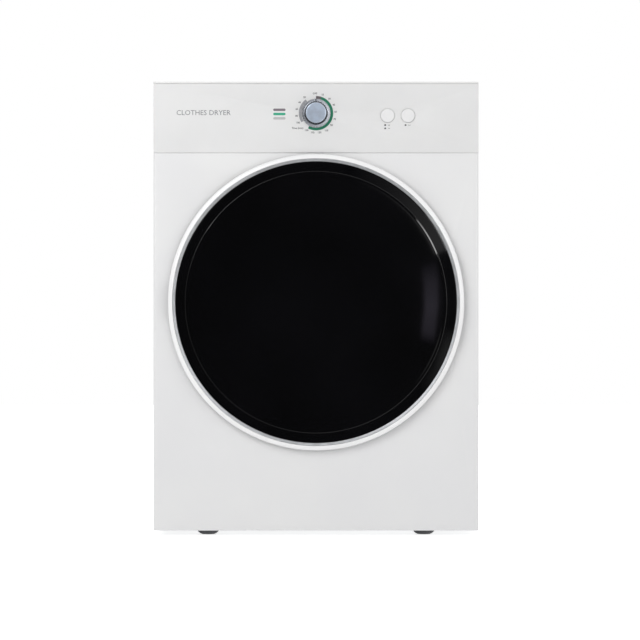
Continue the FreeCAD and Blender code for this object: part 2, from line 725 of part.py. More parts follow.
def make_top_panel():
    """Thin-edged lid on a board core."""
    lid = box("lid", wide("side_x"), ("fascia_y - panel_gap", "rear_y"), ("lid_z", "cabinet_height"))
    core = box("lid_board", wide("inner_x - panel_gap"), ("front_y + lid_inset", "rear_y"),
               ("lid_z - lid_core", "lid_z"))
    keep("top_panel", join("top_panel", [lid, core]))


def make_control_panel():
    """Moulded fascia, open at the back, with holes for the spindle and the buttons."""
    body = new_body("control_panel")
    low = "fascia_z"
    high = "lid_z - panel_gap"
    curve = "fascia_round * (1 - cos(45))"
    section = [
        ("front_y + front_return", high),
        ("fascia_y + fascia_round", high),
        ("fascia_y", f"{high} - fascia_round", f"fascia_y + {curve}", f"{high} - {curve}"),
        ("fascia_y", f"{low} + fascia_round"),
        ("fascia_y + fascia_round", low, f"fascia_y + {curve}", f"{low} + {curve}"),
        ("front_y + front_return", low),
    ]
    sketch = new_sketch(body, "fascia_section", "YZ_Plane")
    draw_outline(sketch, section)
    pad(body, sketch, "cabinet_width", both_ways=True)
    hollow = new_sketch(body, "fascia_hollow", "XZ_Plane", "-behind_fascia_y")
    draw_rectangle(hollow, wide("side_x - fascia_wall"),
                   ("fascia_z + fascia_wall", "lid_z - panel_gap - fascia_wall"))
    pocket(body, hollow, both_ways=False)
    holes = new_sketch(body, "fascia_holes", "XZ_Plane")
    draw_circle(holes, "0", "knob_z", "spindle_radius + knob_gap")
    for x in BUTTONS.values():
        draw_circle(holes, x, "button_z", "button_radius + button_gap")
    pocket(body, holes)
    keep("control_panel", body)


# ---------------------------------------------------------------- controls
def make_timer_knob():
    """Knob with a flared skirt, a groove round the grip and a moulded spindle."""
    skirt_back = "fascia_y - knob_gap"
    skirt_front = f"{skirt_back} - knob_skirt_height"
    outline = [
        ("0", "fascia_y - knob_height"),
        ("0", "fascia_y + spindle_length"),
        ("spindle_radius", "fascia_y + spindle_length"),
        ("spindle_radius", skirt_back),
        ("knob_skirt_radius", skirt_back),
        ("knob_skirt_radius", f"{skirt_back} - knob_skirt_height / 2"),
        ("knob_groove_radius + 1", skirt_front),
        ("knob_groove_radius", skirt_front),
        ("knob_groove_radius", f"{skirt_back} - knob_skirt_height / 2"),
        ("knob_grip_radius", f"{skirt_back} - knob_skirt_height / 2"),
        ("knob_grip_radius", "fascia_y - knob_height"),
    ]
    keep("timer_knob", turned("timer_knob", outline, z="knob_z"))
    cap_y = ("fascia_y - knob_height - knob_cap_thickness", "fascia_y - knob_height")
    keep("knob_cap", turned("knob_cap", disc(cap_y, "knob_cap_radius"), z="knob_z"))


def make_timer_unit():
    unit_y = ("behind_fascia_y + 1", "behind_fascia_y + 1 + unit_depth")
    block = box("timer_block", wide("unit_half"), unit_y, about("knob_z", "unit_half"))
    bore = rod("timer_bore", "spindle_radius + turning_fit", "0",
               ("behind_fascia_y", "fascia_y + spindle_length + 1"), "knob_z")
    keep("timer_unit", cut("timer_unit", block, [bore]))


def make_buttons():
    """Push buttons with a retaining collar and a stem towards the switches."""
    collar_y = "behind_fascia_y + panel_gap"
    outline = [
        ("0", "fascia_y - button_proud"),
        ("button_radius", "fascia_y - button_proud"),
        ("button_radius", collar_y),
        ("button_radius + button_flange", collar_y),
        ("button_radius + button_flange", "button_back_y"),
        ("stem_radius", "button_back_y"),
        ("stem_radius", "button_back_y + stem_length"),
        ("0", "button_back_y + stem_length"),
    ]
    for label, x in BUTTONS.items():
        keep(label, turned(label, outline, x=x, z="button_z"))


def make_switch_block():
    keep("switch_block", box("switch_block", ("temperature_x - switch_margin", "start_x + switch_margin"),
                             ("switch_y", "switch_y + switch_depth"), about("button_z", "switch_height / 2")))


# ---------------------------------------------------------------- drum and what carries it
def bulkhead_rectangle(sketch):
    draw_rectangle(sketch, wide("inner_x"), wide("drum_radius + bulkhead_reach"))


def make_front_bulkhead():
    """Plate with the drum's throat, the ring the drum collar runs on, and the filter slot."""
    body = new_body("front_bulkhead_blank", z="drum_z")
    plate = new_sketch(body, "front_bulkhead_plate", "XZ_Plane", "-bulkhead_y")
    bulkhead_rectangle(plate)
    pad(body, plate, "bulkhead_wall", reverse=True)
    bore = new_sketch(body, "throat_bore", "XZ_Plane")
    draw_circle(bore, "0", "0", "mouth_radius + mouth_wall / 2")
    pocket(body, bore)
    throat = ("front_y + mouth_front", "front_y + mouth_front + throat_length")
    turn(body, "throat", tube(throat, "mouth_radius + mouth_wall", "mouth_radius"))
    ring = ("bulkhead_y + bulkhead_wall / 2", throat[1])
    turn(body, "support_ring", tube(ring, "support_radius + support_wall", "support_radius"))
    slot = box("filter_slot", wide("filter_half + filter_gap"),
               ("filter_y - filter_gap", "filter_y + filter_thickness + filter_gap"),
               ("throat_low_z - 2 * lint_wall", "drum_z - mouth_radius / 2"))
    duct_hole = rod("bulkhead_duct_hole", "fan_inlet_radius + lint_wall + panel_gap", "motor_x",
                    ("bulkhead_y - 1", "bulkhead_y + bulkhead_wall + 1"), "motor_z")
    keep("front_bulkhead", cut("front_bulkhead", body, [slot, duct_hole]))


def make_front_felt_seal():
    start = "bulkhead_y + bulkhead_wall + front_felt_place"
    keep("front_felt_seal", turned("front_felt_seal", tube((start, start + " + front_felt_width"),
         "pad_radius", "support_radius + support_wall")))


def make_drum_glides():
    """Two low-friction pads on the support ring that the drum collar rests on."""
    start = "bulkhead_y + bulkhead_wall + glide_place"
    pads = []
    for side in (-1, 1):
        body = turned(f"glide_ring_{side}", tube((start, start + " + glide_width"),
                      "pad_radius", "support_radius + support_wall"))
        window = box(f"glide_window_{side}", about(f"{side} * pad_radius * sin(glide_angle)", "glide_half"),
                     (start + " - 1", start + " + glide_width + 1"), ("drum_z", "drum_z + drum_radius"))
        piece = doc.addObject("Part::Common", f"glide_{side}")
        piece.Base = body
        piece.Tool = window
        pads.append(piece)
    keep("drum_glides", group("drum_glides", pads))


def make_drum():
    """Rolled shell with its front lip and collar; perforated back; lifters; shaft."""
    shell = [
        ("drum_radius", "drum_front_y"),
        ("drum_radius", "drum_back_y"),
        ("drum_radius - drum_wall", "drum_back_y"),
        ("drum_radius - drum_wall", "drum_front_y + drum_wall"),
        ("collar_radius", "drum_front_y + drum_wall"),
        ("collar_radius", "drum_front_y - collar_length"),
        ("collar_radius + collar_wall", "drum_front_y - collar_length"),
        ("collar_radius + collar_wall", "drum_front_y"),
    ]
    keep("drum_shell", turned("drum_shell", shell))

    back_y = ("drum_back_y - drum_wall", "drum_back_y")
    back = turned("drum_back", tube(back_y, "drum_radius - drum_wall", "shaft_radius"))
    for row in range(int(value("back_hole_rows"))):
        hole = new_sketch(back, f"back_hole_{row}", "XZ_Plane", "0")
        draw_circle(hole, "0", f"back_hole_first + {row} * back_hole_step", "back_hole_radius")
        repeat_round(back, pocket(back, hole), "back_hole_count")
    keep("drum_back", back)

    lifters = new_body("drum_lifters", z="drum_z")
    section = new_sketch(lifters, "lifter_section", "XZ_Plane", "-(drum_front_y + lifter_margin)")
    foot = "-sqrt((drum_radius - drum_wall - sliding_gap)^2 - lifter_foot^2)"
    crest = "lifter_height - drum_radius"
    draw_outline(section, [
        ("-lifter_foot", foot),
        ("lifter_foot", foot),
        ("lifter_crest", crest),
        ("-lifter_crest", crest, "0", f"{crest} + lifter_crest / 2"),
    ])
    vane = pad(lifters, section, "drum_back_y - drum_front_y - 2 * lifter_margin", reverse=True)
    repeat_round(lifters, vane, "lifter_count")
    keep("drum_lifters", lifters)

    flange_y = "drum_back_y + spider_thickness"
    keep("drum_shaft", turned("drum_shaft", [
        ("0", "drum_back_y"), ("spider_radius", "drum_back_y"), ("spider_radius", flange_y),
        ("shaft_radius", flange_y), ("shaft_radius", "drum_back_y + shaft_length"),
        ("0", "drum_back_y + shaft_length"),
    ]))


def make_rear_bulkhead():
    body = new_body("rear_bulkhead", z="drum_z")
    plate = new_sketch(body, "rear_bulkhead_plate", "XZ_Plane", "-rear_bulkhead_y")
    bulkhead_rectangle(plate)
    pad(body, plate, "bulkhead_wall", reverse=True)
    shaft_hole = new_sketch(body, "shaft_hole", "XZ_Plane")
    draw_circle(shaft_hole, "0", "0", "shaft_radius + housing_gap")
    pocket(body, shaft_hole)
    air_hole = new_sketch(body, "air_hole", "XZ_Plane")
    draw_circle(air_hole, "0", "air_hole_ring", "air_hole_radius")
    repeat_round(body, pocket(body, air_hole), "air_hole_count")
    keep("rear_bulkhead", body)
    felt_y = ("drum_back_y + sliding_gap", "rear_bulkhead_y")
    outer = "drum_radius - rear_felt_outer"
    keep("rear_felt_seal", turned("rear_felt_seal", tube(felt_y, outer, f"{outer} - rear_felt_width")))


def make_bearing():
    housing = [
        ("bearing_radius", "behind_bulkhead_y"),
        ("housing_flange", "behind_bulkhead_y"),
        ("housing_flange", "behind_bulkhead_y + housing_flange_thickness"),
        ("housing_hub", "behind_bulkhead_y + housing_flange_thickness"),
        ("housing_hub", "bearing_y + bearing_length"),
        ("bearing_radius", "bearing_y + bearing_length"),
    ]
    keep("bearing_housing", turned("bearing_housing", housing))
    bush_y = ("bearing_y", "bearing_y + bearing_length")
    keep("drum_bearing", turned("drum_bearing", tube(bush_y, "bearing_radius", "shaft_radius + turning_fit")))


def make_heater():
    """Ring-shaped housing behind the drum, two heating rings on ceramic posts, thermostats."""
    inside = "heater_back_y - heater_wall"
    body = turned("heater_housing", [
        ("heater_inner", "behind_bulkhead_y"),
        ("heater_inner + heater_wall", "behind_bulkhead_y"),
        ("heater_inner + heater_wall", inside),
        ("heater_outer - heater_wall", inside),
        ("heater_outer - heater_wall", "behind_bulkhead_y"),
        ("heater_outer", "behind_bulkhead_y"),
        ("heater_outer", "heater_back_y"),
        ("heater_inner", "heater_back_y"),
    ])
    inlet = new_sketch(body, "air_inlet", "XZ_Plane")
    draw_circle(inlet, "0", "heater_outer - heater_inset", "inlet_radius")
    repeat_round(body, pocket(body, inlet), "inlet_count")
    keep("heater_housing", body)

    middle_y = "behind_bulkhead_y + heater_depth / 2"
    pieces = []
    for number in range(int(value("element_rings"))):
        ring = doc.addObject("Part::Torus", f"heating_ring_{number}")
        bind(ring, "Radius1", f"element_first + {number} * element_step")
        bind(ring, "Radius2", "element_radius")
        ring.Placement.Rotation = FreeCAD.Rotation(FreeCAD.Vector(1, 0, 0), -90)
        put(ring, "0", middle_y, "drum_z")
        pieces.append(ring)
    reach = ("element_first - 2 * element_radius",
             "element_first + element_step * (element_rings - 1) + 2 * element_radius")
    post_y = (f"{middle_y} - element_radius", inside)
    flat = wide("element_post")
    for side in (-1, 1):
        span = reach if side > 0 else (f"-({reach[1]})", f"-({reach[0]})")
        pieces.append(box(f"heater_post_x_{side}", span, post_y, about("drum_z", "element_post")))
        lifted = tuple(f"drum_z + {end}" for end in span)
        pieces.append(box(f"heater_post_z_{side}", flat, post_y, lifted))
    keep("heater_element", join("heater_element", pieces))

    cans = []
    for side in (-1, 1):
        cans.append(rod(f"thermostat_{side}", "thermostat_radius", f"{side} * thermostat_ring * sin(45)",
                        ("heater_back_y", "heater_back_y + thermostat_height"),
                        "drum_z + thermostat_ring * cos(45)"))
    keep("thermostats", group("thermostats", cans))


# ---------------------------------------------------------------- motor, fan and belt
def make_motor():
    end_y = "motor_y + motor_length"
    case = [
        ("motor_shaft_radius + turning_fit", "motor_y"),
        ("motor_radius", "motor_y"),
        ("motor_radius", end_y),
        ("motor_shaft_radius + turning_fit", end_y),
        ("motor_shaft_radius + turning_fit", f"{end_y} - rotor_margin + 1"),
        ("motor_radius - motor_wall", f"{end_y} - rotor_margin + 1"),
        ("motor_radius - motor_wall", "motor_y + rotor_margin - 1"),
        ("motor_shaft_radius + turning_fit", "motor_y + rotor_margin - 1"),
    ]
    keep("motor_case", turned("motor_case", case, x="motor_x", z="motor_z"))

    pulley_y = ("belt_low_y - pulley_side_gap - pulley_flange_thickness",
                "belt_high_y + pulley_side_gap + pulley_flange_thickness")
    shaft = [
        ("0", "fan_y + fan_wall + impeller_side_gap"),
        ("motor_shaft_radius", "fan_y + fan_wall + impeller_side_gap"),
        ("motor_shaft_radius", "motor_y + rotor_margin"),
        ("rotor_radius", "motor_y + rotor_margin"),
        ("rotor_radius", f"{end_y} - rotor_margin"),
        ("motor_shaft_radius", f"{end_y} - rotor_margin"),
        ("motor_shaft_radius", pulley_y[0]),
        ("pulley_bore", pulley_y[0]),
        ("pulley_bore", pulley_y[1]),
        ("0", pulley_y[1]),
    ]
    keep("motor_shaft", turned("motor_shaft", shaft, x="motor_x", z="motor_z"))
    keep("belt_pulley", turned("belt_pulley", pulley_outline(pulley_y), x="motor_x", z="motor_z"))

    cradle = box("motor_cradle", about("motor_x", "motor_seat"),
                 ("motor_y + rotor_margin", f"{end_y} - rotor_margin"),
                 ("floor_z", "motor_z - motor_radius / 2"))
    saddle = rod("motor_saddle", "motor_radius + sliding_gap", "motor_x", ("motor_y", end_y), "motor_z")
    seat = cut("motor_seat_block", cradle, [saddle])
    upright = box("idler_upright", about("pivot_x", "arm_half"),
                  ("arm_back_y + sliding_gap", "arm_back_y + sliding_gap + arm_thickness"),
                  ("floor_z", "pivot_z + arm_half"))
    foot = box("bracket_foot", ("pivot_x - arm_half", "motor_x + motor_seat"),
               ("motor_y + rotor_margin", "arm_back_y + sliding_gap + arm_thickness"),
               ("floor_z", "floor_z + arm_thickness"))
    axle = rod("idler_post", "post_radius", "pivot_x", ("arm_y - sliding_gap", "arm_back_y + arm_thickness"),
               "pivot_z")
    keep("motor_bracket", join("motor_bracket", [seat, upright, foot, axle]))


def pulley_outline(pulley_y):
    """Corners of the flanged pulley on the motor shaft."""
    low, high = pulley_y
    seat_low = "belt_low_y - pulley_side_gap"
    seat_high = "belt_high_y + pulley_side_gap"
    return [("pulley_bore", low), ("pulley_flange", low), ("pulley_flange", seat_low),
            ("pulley_radius", seat_low), ("pulley_radius", seat_high), ("pulley_flange", seat_high),
            ("pulley_flange", high), ("pulley_bore", high)]


def make_idler():
    """Sprung arm that holds the idler pulley against the inside of the belt."""
    roller = tube(("belt_low_y", "belt_high_y"), "idler_radius", "idler_bore + turning_fit")
    keep("idler_pulley", turned("idler_pulley", roller, x="idler_x", z="idler_z"))
    slope = math.degrees(math.atan2(value("arm_reach_z"), value("arm_reach_x")))
    bar = doc.addObject("Part::Box", "idler_bar")
    bind(bar, "Length", "sqrt(arm_reach_x^2 + arm_reach_z^2)")
    bind(bar, "Width", "arm_thickness")
    bind(bar, "Height", "2 * arm_half")
    bar.Placement.Rotation = FreeCAD.Rotation(FreeCAD.Vector(0, -1, 0), slope)
    put(bar, "pivot_x + arm_half * sin(atan(arm_reach_z / arm_reach_x))", "arm_y",
        "pivot_z - arm_half * cos(atan(arm_reach_z / arm_reach_x))")
    arm_y = ("arm_y", "arm_back_y")
    blank = join("idler_arm_blank", [
        bar,
        rod("arm_eye", "arm_half", "pivot_x", arm_y, "pivot_z"),
        rod("arm_head", "arm_half", "idler_x", arm_y, "idler_z"),
        rod("idler_axle", "idler_bore", "idler_x", ("belt_low_y", "arm_back_y"), "idler_z"),
    ])
    bore = rod("arm_bore", "post_radius + turning_fit", "pivot_x", ("arm_y - 1", "arm_back_y + 1"), "pivot_z")
    keep("idler_arm", cut("idler_arm", blank, [bore]))


def belt_wire(offset):
    """The belt's run round the drum, the idler and the motor pulley, offset outward."""
    circles = [
        (FreeCAD.Vector(0, value("belt_low_y"), value("drum_z")), value("drum_radius") + offset),
        (FreeCAD.Vector(value("idler_x"), value("belt_low_y"), value("idler_z")),
         value("idler_radius") + offset),
        (FreeCAD.Vector(value("motor_x"), value("belt_low_y"), value("motor_z")),
         value("pulley_radius") + offset),
    ]
    across = FreeCAD.Vector(0, 1, 0)
    normals = []
    for index, (centre, radius) in enumerate(circles):
        following, next_radius = circles[(index + 1) % len(circles)]
        run = following - centre
        along = FreeCAD.Vector(run).normalize()
        outward = across.cross(along)
        tilt = (radius - next_radius) / run.Length
        normals.append(along * tilt + outward * math.sqrt(1 - tilt * tilt))
    edges = []
    for index, (centre, radius) in enumerate(circles):
        arriving = normals[index - 1]
        leaving = normals[index]
        middle = belt_middle(arriving, leaving, index == 0)
        arc = Part.Arc(centre + arriving * radius, centre + middle * radius, centre + leaving * radius)
        edges.append(arc.toShape())
        following, next_radius = circles[(index + 1) % len(circles)]
        edges.append(Part.LineSegment(centre + leaving * radius, following + leaving * next_radius).toShape())
    return Part.Wire(edges)


def belt_middle(arriving, leaving, is_drum):
    """Direction to the middle of an arc: the long way round on the drum."""
    middle = (arriving + leaving).normalize()
    return middle * -1 if is_drum else middle


def make_belt():
    inner = Part.Face(belt_wire(value("sliding_gap")))
    outer = Part.Face(belt_wire(value("sliding_gap + belt_thickness")))
    belt = doc.addObject("Part::Feature", "drum_belt")
    belt.Shape = outer.cut(inner).extrude(FreeCAD.Vector(0, value("belt_width"), 0))
    belt.Placement = FreeCAD.Placement()
    keep("drum_belt", belt)


def make_fan():
    """Blower housing with a tangential outlet, and the impeller inside it."""
    def scroll(name, wall):
        low = f"fan_low_z + {wall}"
        shell_y = (f"fan_y + {wall}", f"fan_back_y - {wall}")
        round_part = rod(name + "_round", f"fan_case_radius - {wall}", "motor_x", shell_y, "motor_z")
        outlet = box(name + "_outlet", ("fan_outlet_x" if wall == "0" else "fan_outlet_x - 1", "motor_x"),
                     shell_y, (low, f"fan_low_z + fan_outlet - {wall}"))
        return join(name, [round_part, outlet])
    legs = box("fan_leg", about("motor_x", "fan_inlet_radius / 2"), ("fan_y", "fan_back_y"),
               ("floor_z", "fan_low_z + fan_wall"))
    outside = join("fan_outside", [scroll("fan_shell", "0"), legs])
    inlet = rod("fan_inlet", "fan_inlet_radius", "motor_x", ("fan_y - 1", "fan_y + fan_wall + 1"), "motor_z")
    shaft_hole = rod("fan_shaft_hole", "motor_shaft_radius + 2", "motor_x",
                     ("fan_back_y - fan_wall - 1", "fan_back_y + 1"), "motor_z")
    keep("fan_housing", cut("fan_housing", outside, [scroll("fan_space", "fan_wall"), inlet, shaft_hole]))

    front = "fan_y + fan_wall + impeller_side_gap"
    back = "fan_back_y - fan_wall - impeller_side_gap"
    bore = "motor_shaft_radius + turning_fit"
    body = turned("fan_impeller", [
        (bore, front),
        ("impeller_hub", front),
        ("impeller_hub", f"{back} - impeller_disc"),
        ("impeller_radius", f"{back} - impeller_disc"),
        ("impeller_radius", back),
        (bore, back),
    ], x="motor_x", z="motor_z")
    blade = new_sketch(body, "blade", "XZ_Plane", f"-({front})")
    draw_rectangle(blade, wide("blade_thickness / 2"),
                   ("impeller_radius - blade_length + blade_thickness", "impeller_radius - blade_thickness"))
    feature = pad(body, blade, f"({back}) - ({front}) - impeller_disc / 2", reverse=True)
    repeat_round(body, feature, "impeller_blades")
    rim = [("impeller_radius - blade_length", front), ("impeller_radius", front),
           ("impeller_radius", f"{front} + impeller_disc"),
           ("impeller_radius - blade_length", f"{front} + impeller_disc")]
    turn(body, "impeller_rim", rim)
    keep("fan_impeller", body)


# ---------------------------------------------------------------- air ducts and lint filter
def make_lint_duct():
    """Moulded duct from the filter slot down to the fan inlet, with two ledges the filter stands on."""
    right = "motor_x + fan_inlet_radius + 15"
    left = "filter_half + filter_gap + lint_wall"
    slot_y = ("filter_y - filter_gap - lint_wall", "lint_back_y")
    low_box = box("lint_low_box", (f"-({left})", right), ("lint_y", "lint_back_y"),
                  ("lint_low", "shoulder_z"))
    chimney = box("lint_chimney", wide(left), slot_y, ("shoulder_z - lint_wall", "drum_z - mouth_radius / 2"))
    collar = rod("lint_collar", "fan_inlet_radius + lint_wall", "motor_x",
                 ("lint_back_y - lint_wall", "fan_y"), "motor_z")
    outside = join("lint_outside", [low_box, chimney, collar])
    low_space = box("lint_low_space", (f"lint_wall - ({left})", f"{right} - lint_wall"),
                    ("lint_y + lint_wall", "lint_back_y - lint_wall"),
                    ("lint_low + lint_wall", "shoulder_z - lint_wall"))
    slot = box("lint_slot", wide(f"{left} - lint_wall"),
               ("filter_y - filter_gap", "lint_back_y - lint_wall"),
               ("shoulder_z - 2 * lint_wall", "drum_z"))
    bore = rod("lint_bore", "fan_inlet_radius", "motor_x",
               ("lint_back_y - lint_wall - 1", "fan_y + 1"), "motor_z")
    throat = rod("lint_throat", "mouth_radius + mouth_wall + sliding_gap", "0",
                 ("front_y", "bulkhead_y + bulkhead_wall"), "drum_z")
    seat_z = "throat_low_z - filter_height"
    pieces = [cut("lint_shell", outside, [low_space, slot, bore, throat])]
    for side in (-1, 1):
        ledge_x = about(f"{side} * (filter_half - filter_frame)", "lint_wall")
        pieces.append(box(f"filter_ledge_{side}", ledge_x, ("filter_y", "lint_back_y"),
                          (f"{seat_z} - 2 * lint_wall", seat_z)))
    keep("lint_duct", join("lint_duct", pieces))


def make_lint_filter():
    """Slide-out frame with a fine screen and an open top that takes the air."""
    filter_y = ("filter_y", "filter_y + filter_thickness")
    low = "throat_low_z - filter_height"
    frame = box("filter_block", wide("filter_half"), filter_y, (low, "throat_low_z"))
    inside = box("filter_inside", wide("filter_half - filter_frame"),
                 ("filter_y + filter_mesh", "filter_y + filter_thickness - filter_mesh"),
                 (f"{low} + filter_frame", "throat_low_z + 1"))
    bridge = box("filter_bridge", wide("filter_frame"), filter_y,
                 ("throat_low_z - filter_frame", "throat_low_z"))
    keep("lint_filter", join("lint_filter", [cut("filter_shell", frame, [inside]), bridge]))


def make_exhaust():
    """Duct from the fan outlet to the back of the cabinet, and the collar for a vent hose."""
    def duct(name, wall):
        reach = f"exhaust_radius - {wall}"
        case_y = (f"fan_y + {wall}", f"fan_back_y - {wall}")
        return [
            box(name + "_cross", ("exhaust_x", "fan_outlet_x" if wall == "0" else "fan_outlet_x + 1"), case_y,
                (f"fan_low_z + {wall}", f"fan_low_z + fan_outlet - {wall}")),
            box(name + "_elbow", about("exhaust_x", reach), case_y, about("exhaust_z", reach)),
            rod(name + "_tube", reach, "exhaust_x",
                ("fan_back_y - 1" if wall == "0" else "fan_back_y - duct_wall - 1",
                 "exhaust_end_y" if wall == "0" else "exhaust_end_y + 1"), "exhaust_z"),
        ]
    keep("exhaust_duct", cut("exhaust_duct", join("exhaust_outside", duct("exhaust", "0")),
                             duct("exhaust_space", "duct_wall")))
    end_y = "rear_y + vent_proud"
    keep("vent_collar", turned("vent_collar", [
        ("vent_radius - vent_wall", "exhaust_end_y"),
        ("vent_radius", "exhaust_end_y"),
        ("vent_radius", "rear_y"),
        ("vent_flange", "rear_y"),
        ("vent_flange", "rear_y + vent_flange_thickness"),
        ("vent_radius", "rear_y + vent_flange_thickness"),
        ("vent_radius", end_y),
        ("vent_radius - vent_wall", end_y),
    ], x="exhaust_x", z="exhaust_z"))


# ---------------------------------------------------------------- door
def out(depth):
    """A place in front of the front panel."""
    return f"front_y - ({depth})"


def make_door_ring():
    """White outer ring with a rounded flank; notched for the hinge and hollowed as a finger grip."""
    blank = turned("door_ring_blank", [
        ("ledge_radius", out("ledge_back")),
        ("ledge_radius", out("ledge_front")),
        ("ring_bore", out("ledge_front")),
        ("ring_bore", out("ring_proud - 1")),
        ("door_radius - ring_crest", out("ring_proud")),
        ("door_radius", out("ring_shoulder"), "door_radius - ring_crest * (1 - sin(50))",
         out("ring_shoulder + (ring_proud - ring_shoulder) * sin(42)")),
        ("door_radius", out("door_gap")),
        ("door_radius - ring_wall", out("door_gap")),
        ("door_radius - ring_wall", out("ledge_back")),
    ])
    ledge_x = "sqrt(ledge_radius^2 - (hinge_half + notch_gap)^2)"
    notch = box("hinge_notch", ("-door_radius - 1", f"notch_gap - {ledge_x}"),
                (out("notch_depth"), "front_y"), about("drum_z", "hinge_half + notch_gap"))
    grip = box("grip_pocket", ("door_radius - grip_width", "door_radius + 1"),
               (out("grip_depth"), "front_y"), about("drum_z", "grip_half"))
    keep("door_ring", cut("door_ring", blank, [notch, grip] + door_screw_holes("ring_hole")))


def door_screw_places():
    count = int(value("door_screw_count"))
    for number in range(count):
        angle = (number + 0.5) * 360 / count
        ring = "(door_radius - door_screw_ring)"
        yield f"{ring} * cos({angle})", f"drum_z + {ring} * sin({angle})"


def door_screw_holes(name):
    return [rod(f"{name}_{number}", "screw_radius + screw_gap", x,
                (out("frame_back + door_screw_length + screw_gap"), out("frame_back - 1")), z)
            for number, (x, z) in enumerate(door_screw_places())]


def make_door_trim_ring():
    keep("door_trim_ring", turned("door_trim_ring", [
        ("trim_radius - trim_width", out("ledge_front")),
        ("trim_radius - trim_width", out("window_rim")),
        ("trim_radius", out("ring_proud - 1")),
        ("trim_radius", out("ledge_front")),
    ]))


def cap_middle(edge, rise):
    """Height of a round cap at half its radius, above its edge."""
    ball = f"((({edge})^2 + ({rise})^2) / (2 * ({rise})))"
    return f"(sqrt({ball}^2 - ({edge})^2 / 4) - {ball} + ({rise}))"


def make_door_window():
    """Dark outer window: a flat band round a shallow dome."""
    half = "band_radius / 2"
    middle = cap_middle("band_radius", "door_proud - window_rise")
    keep("door_window", turned("door_window", [
        ("0", out("door_proud"), half, out(f"window_rise + {middle}")),
        ("0", out("door_proud - window_wall")),
        ("band_radius", out("window_rise - window_wall"),
         half, out(f"window_rise - window_wall + {middle}")),
        ("window_radius", out("ledge_front")),
        ("window_radius", out("window_rim")),
        ("band_radius", out("window_rim + 1")),
        ("band_radius", out("window_rise")),
    ]))


def make_door_inner_frame():
    """Moulding that faces the drum and clamps the glass bowl."""
    front = out("frame_back + frame_wall + screw_gap")
    blank = turned("door_frame_blank", [
        ("frame_bore", front),
        ("frame_radius", front),
        ("frame_radius", out("frame_back")),
        ("frame_bore + frame_wall", out("frame_back")),
        ("frame_bore + frame_wall", "front_y + frame_collar - frame_back"),
        ("frame_bore", "front_y + frame_collar - frame_back"),
    ])
    keep("door_inner_frame", cut("door_inner_frame", blank, door_screw_holes("frame_hole")))


def make_door_bowl():
    """Glass dish that keeps the laundry off the window."""
    rim = "frame_bore - sliding_gap"
    inside = "frame_bore - sliding_gap - bowl_wall"
    inner_depth = "bowl_depth - bowl_wall"
    keep("door_bowl", turned("door_bowl", [
        ("0", "front_y + bowl_depth", f"({rim}) / 2", f"front_y + {cap_middle(rim, 'bowl_depth')}"),
        ("0", "front_y + bowl_depth - bowl_wall"),
        (inside, "front_y", f"({inside}) / 2", f"front_y + {cap_middle(inside, inner_depth)}"),
        (inside, out("frame_back + frame_wall")),
        (rim, out("frame_back + frame_wall")),
        (rim, "front_y"),
    ]))


def make_door_seal():
    inner = "mouth_radius + seal_step"
    keep("door_seal", turned("door_seal", tube((out("frame_back"), out("sliding_gap")),
                                               f"{inner} + seal_width", inner)))


def make_door_striker():
    plate = box("striker_base", about("striker_x", "striker_plate"),
                (out("frame_back"), out("frame_back / 2")), about("drum_z", "striker_plate + striker_half"))
    tongue = box("striker_tongue", about("striker_x", "striker_thickness / 2"),
                 (out("frame_back - 1"), "front_y + striker_length"), about("drum_z", "striker_half"))
    keep("door_striker", join("door_striker", [plate, tongue]))


def make_door_catch():
    body = box("catch_block", about("striker_x", "catch_side"), ("front_y + sheet", "front_y + catch_depth"),
               about("drum_z", "catch_half"))
    mouth = box("catch_mouth", about("striker_x", "striker_thickness / 2 + striker_slot_gap"),
                ("front_y", "front_y + striker_length + striker_slot_gap"),
                about("drum_z", "striker_half + striker_slot_gap"))
    keep("door_catch", cut("door_catch", body, [mouth]))


def make_hinge():
    """Fixed plate and knuckle, the pin, and the arm on the door with two knuckles."""
    bore = "hinge_pin_radius + turning_fit"
    tall = about("drum_z", "hinge_half")
    plate = box("hinge_base", ("hinge_x - knuckle_radius / 2", "hinge_x + hinge_plate_reach"),
                (out("hinge_plate_thickness"), "front_y"), tall)
    web = box("hinge_web", ("hinge_x + hinge_web_near", "hinge_x + hinge_web_far"),
              ("hinge_y", out("hinge_plate_thickness / 2")), about("drum_z", "knuckle_half"))
    knuckle = post("fixed_knuckle", "knuckle_radius", "hinge_x", "hinge_y", about("drum_z", "knuckle_half"))
    pin_hole = post("fixed_bore", bore, "hinge_x", "hinge_y", tall)
    keep("hinge_plate", cut("hinge_plate", join("hinge_fixed", [plate, web, knuckle]), [pin_hole]))
    keep("hinge_pin", post("hinge_pin", "hinge_pin_radius", "hinge_x", "hinge_y", tall))

    arm_back = "frame_back + frame_wall + screw_gap"
    pieces = [box("arm_plate", ("hinge_x", "hinge_x + hinge_arm_reach"),
                  (out(f"{arm_back} + hinge_arm_thickness"), out(arm_back)), tall)]
    for side in (-1, 1):
        ends = sorted((f"{side} * (knuckle_half + sliding_gap)", f"{side} * hinge_half"), key=value)
        pieces.append(post(f"arm_knuckle_{side}", "knuckle_radius", "hinge_x", "hinge_y",
                           tuple(f"drum_z + {end}" for end in ends)))
    relief = box("knuckle_relief", ("hinge_x - knuckle_radius - 1", "hinge_x + knuckle_radius + notch_gap"),
                 (out("ring_proud"), out("0")), about("drum_z", "knuckle_half + sliding_gap"))
    arm_bore = post("arm_pin_bore", bore, "hinge_x", "hinge_y", tall)
    keep("hinge_arm", cut("hinge_arm", join("hinge_moving", pieces), [relief, arm_bore]))


